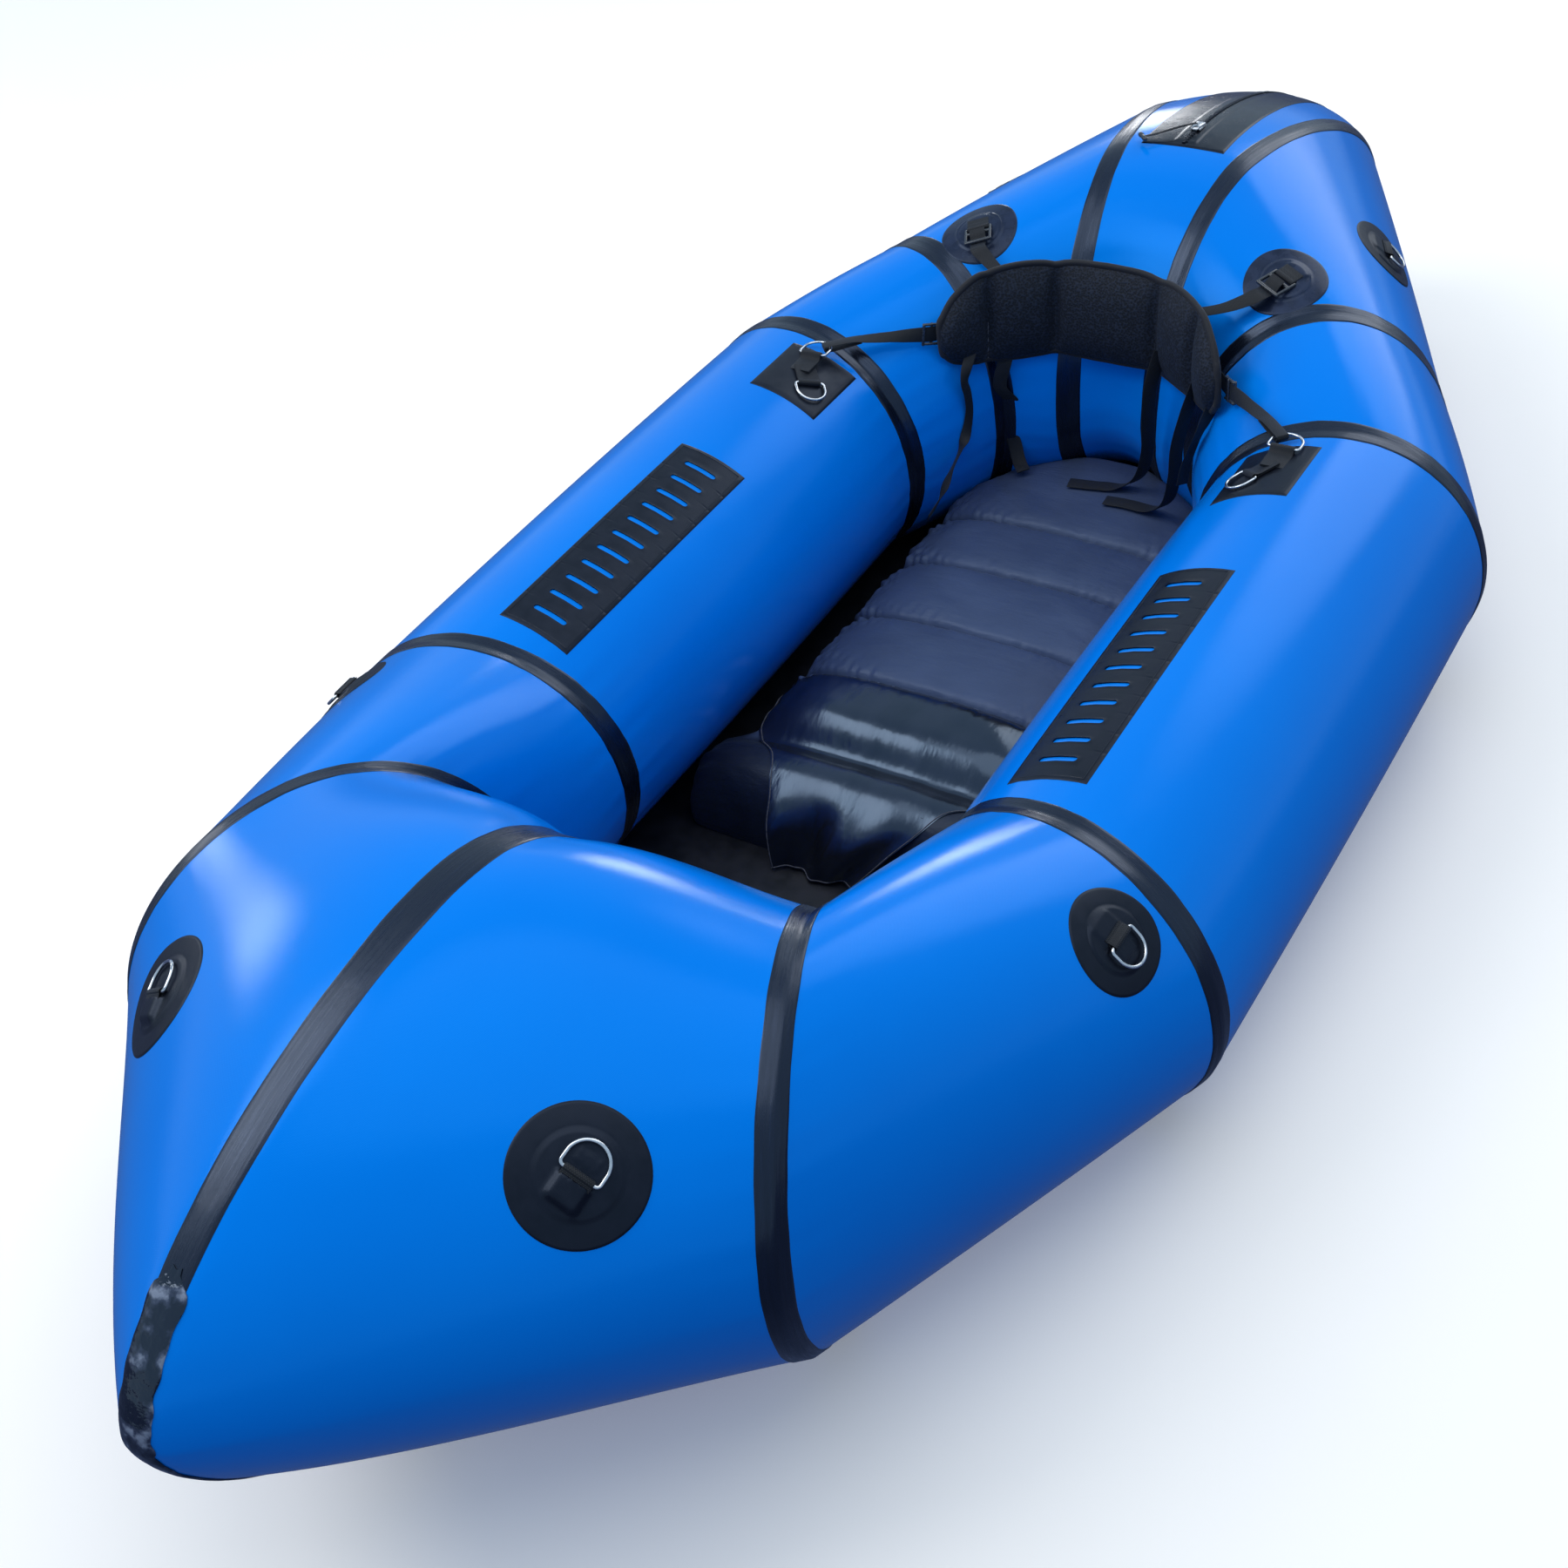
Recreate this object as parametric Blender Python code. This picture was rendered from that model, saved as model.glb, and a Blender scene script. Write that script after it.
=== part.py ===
"""One-person packraft: an inflated tube of eleven fabric panels round a sewn floor, with seam tapes, tie-down
patches, D-rings, an inflatable seat, a strapped backrest, a cargo zip and an inflation valve.

Metres, +Z up, the bow at -Y and the port side at +X. The origin is on the ground below the middle of the boat.
Run it with blender --background --python part.py, or from Blender's text editor."""

import math

import bmesh
import bpy
import numpy as np
from mathutils import Matrix, Vector
from mathutils.bvhtree import BVHTree

# Gaps and fabrics
GAP = 0.0003
FABRIC = 0.0004
FLOOR_THICKNESS = 0.0008
TAPE_THICKNESS = 0.0008
TAPE_WIDTH = 0.027
PATCH_THICKNESS = 0.0008
RAISED_THICKNESS = 0.0012
WEBBING_WIDTH = 0.025
STRAP_WIDTH = 0.020
WEBBING = 0.0014

# Hull
LENGTH = 2.207
BEAM = 0.940
TUBE_HEIGHT = 0.306
BOW_HEIGHT = 0.451
STERN_HEIGHT = 0.416
COCKPIT_WIDTH = 0.344
COCKPIT_FORE_LENGTH = 0.5015
COCKPIT_AFT_LENGTH = 0.4695
FLOOR_MARGIN = 0.025
SIDE_SWELL = 0.003
BOW_SWELL = 0.010
NOSE_PATCH_WIDTH = 0.026

# Rings and their patches
WIRE_DIAMETER = 0.003
RING_WIDTH = 0.033
RING_REACH = 0.026
RING_CORNER = 0.0035
BORE_CLEARANCE = 0.0004
RING_PATCH_DIAMETER = 0.090
BOW_PATCH_DIAMETER = 0.106
TAB_BACK = 0.028
TAB_FRONT = 0.014
TIE_TAB_BACK = 0.018
STRAP_BAR_HEIGHT = 0.0080
TIE_PATCH_LENGTH = 0.095
TIE_PATCH_WIDTH = 0.084
LADDER_LENGTH = 0.325
LADDER_WIDTH = 0.080
LADDER_SLOTS = 11
SLOT_LENGTH = 0.030
SLOT_WIDTH = 0.004
SLOT_PITCH = 0.027

# Ladder-lock buckle
BUCKLE_WIDTH = 0.031
BUCKLE_LENGTH = 0.028
BUCKLE_THICKNESS = 0.004
BUCKLE_BAR_WIDTH = 0.004
BUCKLE_SIDE_WIDTH = 0.0025

# Backrest
BACKREST_LENGTH = 0.374
BACKREST_HEIGHT = 0.110
BACKREST_END_HEIGHT = 0.052
BACKREST_THICKNESS = 0.020
BACKREST_END_THICKNESS = 0.016
BACKREST_MIDDLE_HEIGHT = 0.308
BACKREST_END_MIDDLE_HEIGHT = 0.296
BACKREST_LEAN = 0.012
BACKREST_CHANNEL = 0.005
BACKREST_STAND_OFF = 0.008
TAIL_LENGTH = 0.130

# Seat
SEAT_WIDTH = 0.330
SEAT_BOLSTER_WIDTH = 0.370
SEAT_HEIGHT = 0.107
SEAT_LENGTH = 0.6190
SEAT_REAR_GAP = 0.0240
SEAT_REAR_ROUND = 0.072
SEAT_EDGE_RADIUS = 0.050
SEAT_CHANNEL = 0.010
FLAP_THICKNESS = 0.0010
FLAP_OFFSET = 0.0016
FLAP_FOLD = 0.006

# Cargo zip
ZIP_PATCH_WIDTH = 0.100
ZIP_START = 0.6665
ZIP_END = 1.030
TEETH_WIDTH = 0.007
TEETH_HEIGHT = 0.0014
SLIDER_START = 0.7135
SLIDER_TRAVEL = 0.200
SLIDER_LENGTH = 0.022
SLIDER_WIDTH = 0.012
SLIDER_HEIGHT = 0.005
RAIL_DEPTH = 0.003
LUG_WIDTH = 0.0016
LUG_LENGTH = 0.0040
LUG_SETBACK = 0.0040
PIVOT_HEIGHT = 0.0018
PIN_DIAMETER = 0.0012
PULLER_LENGTH = 0.064
PULLER_WIDTH = 0.004
PULLER_THICKNESS = 0.0016
TOGGLE_LENGTH = 0.022
TOGGLE_DIAMETER = 0.006

# Inflation valve
VALVE_DIAMETER = 0.046
VALVE_FLANGE_DIAMETER = 0.070
VALVE_HEIGHT = 0.010
VALVE_BORE = 0.020
CAP_DIAMETER = 0.034
CAP_HEIGHT = 0.012

# How finely round shapes are cut
SIDES = 20
ROUND_SIDES = 20
WIRE_SIDES = 6
LOOP_SIDES = 12
BAR_SIDES = 10
TOGGLE_SIDES = 8
DISC_SIDES = 24
BORE_SIDES = 16
BOW_STEPS = 6
PAD_SIDES = 14
PLAN_STEPS = 49
OVERRUN = 0.030
STEP = 0.001

# Where each seam crosses the hull, as shares of the driving sizes: inner x of the cockpit's half width, inner y of
# its reach from the middle, outer x of the half beam, outer y of the half length, rise of the end's extra height,
# the widest heights outboard and inboard of the seam's own height, crown and keel of the seam's width, and the
# roundness inboard above, outboard above and outboard below, where 1 is an ellipse.
SEAM_SHARES = {
    "bow": (0.0, -1.0, 0.0, -1.0, 1.0, 0.599, 0.299, 0.365, 0.43, 0.83, 1.15, 1.30),
    "shoulder": (0.994, -0.8744, 0.683, -0.710, 0.607, 0.604, 0.368, 0.54, 0.44, 1.0, 1.0, 1.15),
    "fore": (1.0, -0.5553, 1.0, -0.3086, 0.0, 0.490, 0.507, 0.50, 0.50, 1.0, 1.0, 1.0),
    "aft": (1.0, 0.6528, 1.0, 0.3194, 0.0, 0.490, 0.507, 0.50, 0.50, 1.0, 1.0, 1.0),
    "quarter": (0.680, 0.9063, 0.7766, 0.4989, 0.318, 0.469, 0.499, 0.48, 0.48, 1.0, 1.0, 1.0),
    "transom": (0.2936, 0.9723, 0.2628, 0.8913, 0.945, 0.610, 0.380, 0.41, 0.486, 1.0, 1.10, 1.0),
    "stern": (0.0, 1.0, 0.0, 1.0, 1.0, 0.517, 0.409, 0.34, 0.50, 1.0, 1.14, 1.0),
}

COCKPIT_HALF_WIDTH = COCKPIT_WIDTH / 2
HALF_BEAM = BEAM / 2
HALF_LENGTH = LENGTH / 2
HULL_BOTTOM = FLOOR_THICKNESS + TAPE_THICKNESS + 2 * GAP
WIRE_RADIUS = WIRE_DIAMETER / 2
BORE_RADIUS = WIRE_RADIUS + BORE_CLEARANCE
TUNNEL_RADIUS = BORE_RADIUS + WEBBING
SKIN_TOP = GAP + PATCH_THICKNESS
RAISED_TOP = SKIN_TOP + RAISED_THICKNESS
BAR_LIFT = WEBBING + BORE_RADIUS + GAP

SEAT_REAR = COCKPIT_AFT_LENGTH - SEAT_REAR_GAP
SEAT_FRONT = SEAT_REAR - SEAT_LENGTH

UP = np.array((0.0, 0.0, 1.0))
FORE_AND_AFT = np.array((0.0, 1.0, 0.0))
MIRROR = np.array((-1.0, 1.0, 1.0))
SIDES_OF_BOAT = (("port", 1), ("starboard", -1))


def unit(vector):
    return vector / np.linalg.norm(vector)


# Hull surface


def seam_point(seam, degrees):
    """The point of a seam's outline at an angle: 0 on the cockpit side, 90 on top, 180 outboard, 270 below."""
    inner_x, inner_y, outer_x, outer_y, rise, outer_z, inner_z, crown, keel, *roundness = SEAM_SHARES[seam]
    end_height = BOW_HEIGHT if inner_y < 0 else STERN_HEIGHT
    top = TUBE_HEIGHT + rise * (end_height - TUBE_HEIGHT)
    reach = COCKPIT_FORE_LENGTH if inner_y < 0 else COCKPIT_AFT_LENGTH
    inner = np.array((inner_x * COCKPIT_HALF_WIDTH, inner_y * reach))
    outer = np.array((outer_x * HALF_BEAM, outer_y * HALF_LENGTH))
    cosine = math.cos(math.radians(degrees))
    sine = math.sin(math.radians(degrees))
    inboard = cosine >= 0
    above = sine >= 0
    peak = crown if above else keel
    if above:
        power = roundness[0] if inboard else roundness[1]
    else:
        power = 1.0 if inboard else roundness[2]
    across = abs(cosine) ** power
    share = peak * (1 - across) if inboard else peak + (1 - peak) * across
    widest = top * (inner_z if inboard else outer_z)
    limit = top if above else HULL_BOTTOM
    height = widest + (limit - widest) * abs(sine) ** power
    x, y = inner + (outer - inner) * share
    return np.array((x, y, height))


def seam_centre(seam):
    return np.mean([seam_point(seam, 360 * step / SIDES) for step in range(SIDES)], axis=0)


def bulge(share, skewed):
    """A swell between two seams that peaks at 1: halfway along, or a third of the way where it is skewed."""
    return 27 / 4 * share * (1 - share) ** 2 if skewed else 4 * share * (1 - share)


class Panel:
    """A skin panel between two seams, read at a share along it and an angle round it."""

    def __init__(self, name, start, end, swell, middles):
        self.name = name
        self.start = start
        self.end = end
        self.swell = swell
        self.middles = middles
        self.centre = (seam_centre(start) + seam_centre(end)) / 2

    def length(self, degrees):
        return np.linalg.norm(seam_point(self.start, degrees) - seam_point(self.end, degrees))

    def point(self, along, degrees):
        start = seam_point(self.start, degrees)
        end = seam_point(self.end, degrees)
        outward = unit((start + end) / 2 - self.centre)
        outward[2] = max(outward[2], 0)
        swell = self.swell * bulge(along, self.start == "bow")
        return start * (1 - along) + end * along + outward * swell

    def normal(self, along, degrees):
        lengthwise = self.point(along + STEP, degrees) - self.point(along - STEP, degrees)
        turn = math.degrees(STEP)
        around = self.point(along, degrees + turn) - self.point(along, degrees - turn)
        return unit(np.cross(around, lengthwise))

    def rows(self, degrees):
        """The shares along the panel where its mesh has points: both rims, both tape edges and what lies between."""
        length = self.length(degrees)
        rim = GAP / length
        edge = TAPE_WIDTH / 2 / length
        inside = [edge + (1 - 2 * edge) * step / (self.middles + 1) for step in range(self.middles + 2)]
        return [rim, *inside, 1 - rim]


class SternPanel(Panel):
    """The panel across the stern, curved from the port transom seam through the stern to the starboard one."""

    def length(self, degrees):
        side = seam_point(self.start, degrees)
        return 2 * np.linalg.norm(side - seam_point("stern", degrees))

    def point(self, along, degrees):
        side = seam_point(self.start, degrees)
        stern = seam_point("stern", degrees)
        weights = (1 - along) * (1 - 2 * along), 4 * along * (1 - along), along * (2 * along - 1)
        return side * weights[0] + stern * weights[1] + side * MIRROR * weights[2]


PANELS = {
    "bow": Panel("bow", "bow", "shoulder", BOW_SWELL, 4),
    "fore": Panel("fore", "shoulder", "fore", SIDE_SWELL, 1),
    "side": Panel("side", "fore", "aft", SIDE_SWELL, 2),
    "aft": Panel("aft", "aft", "quarter", SIDE_SWELL, 1),
    "quarter": Panel("quarter", "quarter", "transom", SIDE_SWELL, 2),
}
STERN = SternPanel("stern", "transom", "transom", 0, 3)
STERN_TURNED = range(3, 6)
PANEL_BEFORE = {"shoulder": "bow", "fore": "fore", "aft": "side", "quarter": "aft", "transom": "quarter"}
PANEL_AFTER = {"shoulder": "fore", "fore": "side", "aft": "aft", "quarter": "quarter"}


MITRE_LIMIT_SHARE = 0.4


def seam_offset(seam, degrees):
    """The way out of the skin at a seam, long enough that both panels there keep their distance from it."""
    if seam == "bow":
        first = PANELS["bow"].normal(0, degrees)
        second = first * MIRROR
    else:
        first = PANELS[PANEL_BEFORE[seam]].normal(1, degrees)
        after = STERN if seam == "transom" else PANELS[PANEL_AFTER[seam]]
        second = after.normal(0, degrees)
    middle = unit(first + second)
    return middle / max(float(middle @ first), MITRE_LIMIT_SHARE)


def panel_offset(panel, row, rows, degrees):
    """The way out of a panel at one of its rows."""
    if row == 0:
        return seam_offset(panel.start, degrees)
    if row == len(rows) - 1:
        outward = seam_offset(panel.end, degrees)
        return outward * MIRROR if panel is STERN else outward
    return panel.normal(rows[row], degrees)


def skin_rows(panel, distance, first=0, last=None, columns=range(SIDES)):
    """Points at a distance off the panel, one list for each of its rows."""
    grid = []
    for column in columns:
        degrees = 360 * column / SIDES
        rows = panel.rows(degrees)
        line = [
            panel.point(share, degrees) + panel_offset(panel, row, rows, degrees) * distance
            for row, share in enumerate(rows)
        ]
        grid.append(line[first:last])
    return [list(row) for row in zip(*grid)]


# Meshes and materials


def material(name, colour, roughness, metallic=0.0):
    """A Principled BSDF material."""
    made = bpy.data.materials.new(name)
    made.use_nodes = True
    shader = made.node_tree.nodes["Principled BSDF"]
    shader.inputs["Base Color"].default_value = (*colour, 1)
    shader.inputs["Roughness"].default_value = roughness
    shader.inputs["Metallic"].default_value = metallic
    made.diffuse_color = (*colour, 1)
    return made


LOOKS = {
    "hull": ((0.004, 0.190, 0.780), 0.42, 0.0),
    "tape": ((0.012, 0.014, 0.020), 0.35, 0.0),
    "patch": ((0.010, 0.011, 0.014), 0.55, 0.0),
    "floor": ((0.012, 0.013, 0.018), 0.60, 0.0),
    "wire": ((0.620, 0.630, 0.650), 0.25, 1.0),
    "webbing": ((0.008, 0.009, 0.014), 0.80, 0.0),
    "pad": ((0.012, 0.012, 0.018), 0.85, 0.0),
    "seat": ((0.034, 0.042, 0.085), 0.55, 0.0),
    "flap": ((0.008, 0.009, 0.013), 0.22, 0.0),
    "plastic": ((0.014, 0.014, 0.016), 0.45, 0.0),
    "slider": ((0.420, 0.430, 0.450), 0.30, 1.0),
}


def add_object(name, points, faces, look, place=None):
    """A closed mesh as an object, its faces turned outwards; place is its own frame, which the points are read in."""
    shape = bmesh.new()
    vertices = [shape.verts.new(Vector(point)) for point in points]
    for face in faces:
        shape.faces.new([vertices[index] for index in face])
    bmesh.ops.recalc_face_normals(shape, faces=shape.faces)
    if shape.calc_volume(signed=True) < 0:
        bmesh.ops.reverse_faces(shape, faces=shape.faces)
    mesh = bpy.data.meshes.new(name)
    shape.to_mesh(mesh)
    shape.free()
    mesh.shade_smooth()
    mesh.set_sharp_from_angle(angle=math.radians(35))
    made = bpy.data.objects.new(name, mesh)
    bpy.context.scene.collection.objects.link(made)
    made.data.materials.append(material(name, *LOOKS[look]))
    if place is not None:
        made.matrix_world = place
    return made


def grid_faces(rows, columns, closed_round, start, turned=()):
    """Triangles of a grid of points; turned holds the strips whose quads are cut along their other diagonal."""
    faces = []
    for row in range(rows - 1):
        for column in range(columns if closed_round else columns - 1):
            beside = (column + 1) % columns
            low, next_low = start + row * columns + column, start + row * columns + beside
            high, next_high = low + columns, next_low + columns
            if row in turned:
                faces += [(low, next_low, high), (next_low, next_high, high)]
            else:
                faces += [(low, next_low, next_high), (low, next_high, high)]
    return faces


def rim_faces(first, second):
    """Triangles between two lines of points that run side by side."""
    faces = []
    for index in range(len(first) - 1):
        faces += [(first[index], first[index + 1], second[index + 1]), (first[index], second[index + 1], second[index])]
    return faces


def shell_mesh(outer, inner, closed_round, turned=()):
    """Points and faces of a skin between two grids of points."""
    rows, columns = len(outer), len(outer[0])
    count = rows * columns
    points = [point for line in outer for point in line] + [point for line in inner for point in line]
    faces = grid_faces(rows, columns, closed_round, 0, turned) + grid_faces(rows, columns, closed_round, count, turned)
    ends = list(range(columns)) + ([0] if closed_round else [])
    top = [(rows - 1) * columns + index for index in ends]
    faces += rim_faces(ends, [count + index for index in ends])
    faces += rim_faces(top, [count + index for index in top])
    if not closed_round:
        for column in (0, columns - 1):
            side = [row * columns + column for row in range(rows)]
            faces += rim_faces(side, [count + index for index in side])
    return points, faces


def add_shell(name, outer, inner, closed_round, look, side=1, turned=()):
    points, faces = shell_mesh(outer, inner, closed_round, turned)
    mirror = np.array((side, 1, 1))
    return add_object(name, [point * mirror for point in points], faces, look)


def add_loft(name, sections, look):
    """A solid through sections of equally many points, closed by a fan of faces at each end."""
    count = len(sections[0])
    points = [point for section in sections for point in section]
    faces = grid_faces(len(sections), count, True, 0)
    for first, centre in ((0, sections[0]), (len(points) - count, sections[-1])):
        points.append(np.mean(centre, axis=0))
        tip = len(points) - 1
        faces += [(first + index, first + (index + 1) % count, tip) for index in range(count)]
    return add_object(name, points, faces, look)


def boolean(target, operation, other):
    """Cuts target with other, or joins other to it, and keeps other as a hidden guide."""
    change = target.modifiers.new(f"{operation.lower()} {other.name}", "BOOLEAN")
    change.operation = operation
    change.object = other
    other.hide_render = True
    other.display_type = "WIRE"


def frame(origin, forward, up):
    """A frame with Y forward and Z as near to up as it can be."""
    right = unit(np.cross(forward, up))
    forward = unit(forward)
    above = np.cross(right, forward)
    made = Matrix.Identity(4)
    for row in range(3):
        made[row] = (right[row], forward[row], above[row], origin[row])
    return made


def ring_of(radius, sides, height, turn=0.0):
    angles = [2 * math.pi * (step + turn) / sides for step in range(sides)]
    return [np.array((radius * math.cos(angle), radius * math.sin(angle), height)) for angle in angles]


def squared(value, power):
    """A sine or cosine with its sign kept, squared off where the power is under 1."""
    return math.copysign(abs(value) ** power, value)


def add_turned(name, profile, look, place, sides=ROUND_SIDES):
    """A turned solid through (radius, height) pairs, from its lower end to its upper one."""
    made = add_loft(name, [ring_of(radius, sides, height) for radius, height in profile], look)
    made.matrix_world = place
    return made


def add_box(name, low, high, look, place):
    """A box between two corners in its own frame."""
    corners = [(x, y, z) for z in (low[2], high[2]) for y in (low[1], high[1]) for x in (low[0], high[0])]
    faces = [(0, 1, 3, 2), (4, 5, 7, 6), (0, 1, 5, 4), (2, 3, 7, 6), (0, 2, 6, 4), (1, 3, 7, 5)]
    return add_object(name, corners, faces, look, place)


def add_bar(name, radius, length, height, look, place, sides=BAR_SIDES, forward=0.0):
    """A round bar along the frame's X."""
    sections = []
    for x in (-length / 2, length / 2):
        angles = [2 * math.pi * (step + 0.5) / sides for step in range(sides)]
        sections.append([
            np.array((x, forward + radius * math.cos(angle), height + radius * math.sin(angle))) for angle in angles
        ])
    made = add_loft(name, sections, look)
    made.matrix_world = place
    return made


def add_ribbon(name, stations, width, thickness, look, side=1):
    """A flat strap through stations of a place and the direction of its width."""
    mirror = np.array((side, 1, 1))
    places = [np.array(place) for place, _ in stations]
    sections = []
    for index, (place, across) in enumerate(stations):
        before = places[max(index - 1, 0)]
        after = places[min(index + 1, len(places) - 1)]
        along = unit(after - before)
        across = unit(np.array(across) - along * float(np.array(across) @ along))
        out = np.cross(along, across)
        corners = ((-1, -1), (1, -1), (1, 1), (-1, 1))
        sections.append([
            (np.array(place) + across * width / 2 * u + out * thickness / 2 * v) * mirror for u, v in corners
        ])
    count = len(sections[0])
    points = [point for section in sections[::side] for point in section]
    faces = []
    for row in range(len(sections) - 1):
        low, high = row * count, (row + 1) * count
        # The upper and the under side are cut along the same diagonal, so that a twisted strap keeps its thickness.
        for pair in ((0, 1), (1, 2), (3, 2), (0, 3)):
            first, second = pair[::side]
            faces += [(low + first, low + second, high + second), (low + first, high + second, high + first)]
    last = len(points) - count
    faces += [(0, 1, 2, 3), (last, last + 1, last + 2, last + 3)]
    return add_object(name, points, faces, look)


# Hull, tapes and floor


def build_panels():
    for name, side in SIDES_OF_BOAT:
        for panel in PANELS.values():
            add_shell(f"{panel.name}_panel_{name}", skin_rows(panel, 0), skin_rows(panel, -FABRIC), True, "hull", side)
    add_shell("stern_panel", skin_rows(STERN, 0), skin_rows(STERN, -FABRIC), True, "hull", 1, STERN_TURNED)


def tape_rows(seam, distance, edge_share=1.0, columns=range(SIDES)):
    """Three lines of points over a seam: the edge on the panel before it, the seam, and the edge on the one after."""
    lines = [[], [], []]
    for column in columns:
        degrees = 360 * column / SIDES
        middle = seam_point(seam, degrees) + seam_offset(seam, degrees) * distance
        after = STERN if seam == "transom" else PANELS["bow" if seam == "bow" else PANEL_AFTER[seam]]
        share = edge_share * TAPE_WIDTH / 2 / after.length(degrees)
        behind = after.point(share, degrees) + after.normal(share, degrees) * distance
        if seam == "bow":
            ahead = behind * MIRROR
        else:
            before = PANELS[PANEL_BEFORE[seam]]
            share = 1 - edge_share * TAPE_WIDTH / 2 / before.length(degrees)
            ahead = before.point(share, degrees) + before.normal(share, degrees) * distance
        for line, point in zip(lines, (ahead, middle, behind)):
            line.append(point)
    return lines


def build_tapes():
    low, high = GAP, GAP + TAPE_THICKNESS
    for seam in PANEL_BEFORE:
        for name, side in SIDES_OF_BOAT:
            add_shell(f"{seam}_tape_{name}", tape_rows(seam, high), tape_rows(seam, low), True, "tape", side)
    add_shell("bow_tape", tape_rows("bow", high), tape_rows("bow", low), True, "tape", 1, (0,))


NOSE_PATCH_SHARES = (0.42, 0.66)


def build_nose_patch():
    """The second layer over the bow tape, from the upper nose round under it."""
    low = 2 * GAP + TAPE_THICKNESS
    first, last = (round(SIDES * share) for share in NOSE_PATCH_SHARES)
    columns = range(first, last + 1)
    share = NOSE_PATCH_WIDTH / TAPE_WIDTH
    outer = tape_rows("bow", low + TAPE_THICKNESS, share, columns)
    inner = tape_rows("bow", low, share, columns)
    add_shell("nose_patch", outer, inner, False, "tape", 1, (0,))


def build_floor():
    """The floor sheet under the tubes' bottom line, with a margin outside it."""
    outline = []
    for seam in ("bow", "shoulder", "fore", "aft", "quarter", "transom", "stern"):
        bottom = seam_point(seam, 270)[:2]
        inner = seam_point(seam, 0)[:2]
        outline.append(bottom + unit(bottom - inner) * FLOOR_MARGIN)
    outline += [point * MIRROR[:2] for point in reversed(outline[1:-1])]
    count = len(outline)
    points = [(x, y, z) for z in (0, FLOOR_THICKNESS) for x, y in outline]
    faces = [tuple(range(count)), tuple(range(count, 2 * count))]
    faces += [(index, (index + 1) % count, count + (index + 1) % count, count + index) for index in range(count)]
    add_object("floor", points, faces, "floor")


# Patches that follow the skin


def panel_faces(panel):
    """The outer faces of a panel's mesh, for finding where a line meets them."""
    rows = skin_rows(panel, 0)
    turned = STERN_TURNED if panel is STERN else ()
    points = [Vector(point) for line in rows for point in line]
    return BVHTree.FromPolygons(points, grid_faces(len(rows), SIDES, True, 0, turned))


class Place:
    """A spot on the flat faces of a panel's mesh, with the way that its fitting points."""

    def __init__(self, panel, along, degrees, heading, side):
        self.panel = panel
        self.side = side
        self.mirror = np.array((side, 1, 1))
        outward = panel.normal(along, degrees)
        above = panel.point(along, degrees) + outward * OVERRUN
        self.faces = panel_faces(panel)
        self.origin = np.array(self.faces.ray_cast(Vector(above), Vector(-outward))[0]) * self.mirror
        self.up = outward * self.mirror
        heading = np.array(heading, float) * self.mirror
        forward = heading - self.up * float(heading @ self.up)
        self.frame = frame(self.origin, forward, self.up)

    def skin_below(self, bar, x, y):
        """How far the skin lies along -Z from a spot in a frame above it."""
        spot = np.array(bar @ Vector((x, y, 0))) * self.mirror
        down = np.array(bar.to_3x3() @ Vector((0, 0, -1))) * self.mirror
        return self.faces.ray_cast(Vector(spot), Vector(down))[3]


def add_layer(name, place, low, high, look):
    """A stretch of skin at two distances off the whole panel, between its tape edges."""
    middle = len(place.panel.rows(0))
    outer = skin_rows(place.panel, high, 1, middle - 1)
    inner = skin_rows(place.panel, low, 1, middle - 1)
    turned = [strip - 1 for strip in STERN_TURNED] if place.panel is STERN else ()
    return add_shell(name, outer, inner, True, look, place.side, turned)


def add_skin_piece(name, place, cutter, low, high, look="patch"):
    """The part of such a layer that lies inside a cutter."""
    piece = add_layer(name, place, low, high, look)
    boolean(piece, "INTERSECT", cutter)
    return piece


def disc_cutter(name, place, diameter):
    return add_turned(name, ((diameter / 2, -OVERRUN), (diameter / 2, OVERRUN)), "patch", place.frame, DISC_SIDES)


def box_cutter(name, place, x_low, x_high, y_low, y_high):
    return add_box(name, (x_low, y_low, -OVERRUN), (x_high, y_high, OVERRUN), "patch", place.frame)


def loop_section(x, bottom):
    """A webbing loop cut across at a place along its bar: its outline, flat below, and the bore inside it."""
    outline, bore = [], []
    for step in range(LOOP_SIDES):
        angle = 2 * math.pi * (step + 0.5) / LOOP_SIDES
        spread = 1 / math.cos(math.pi / LOOP_SIDES)
        across, lift = math.cos(angle) * spread, math.sin(angle) * spread
        y = TUNNEL_RADIUS * across
        outline.append(np.array((x, y, TUNNEL_RADIUS * lift if lift > 0 else bottom(x, y))))
        bore.append(np.array((x, BORE_RADIUS * across, BORE_RADIUS * lift)))
    return outline, bore


def add_loop(name, place, bar, low, spans):
    """The fold of webbing that a bar lies in, standing on the skin at a height above it."""
    half = WEBBING_WIDTH / 2 - GAP
    points, faces = [], []
    for step in range(spans + 1):
        x = -half + 2 * half * step / spans
        outline, bore = loop_section(x, lambda x, y: low - place.skin_below(bar, x, y))
        points += outline + bore
    count = LOOP_SIDES
    last = 2 * count * spans
    for step in range(count):
        beside = (step + 1) % count
        for span in range(spans):
            for first in (2 * count * span, 2 * count * span + count):
                near, far = first + step, first + beside
                faces.append((near, far, far + 2 * count, near + 2 * count))
        for first in (0, last):
            faces.append((first + step, first + beside, first + count + beside, first + count + step))
    return add_object(name, points, faces, "webbing", bar)


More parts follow.
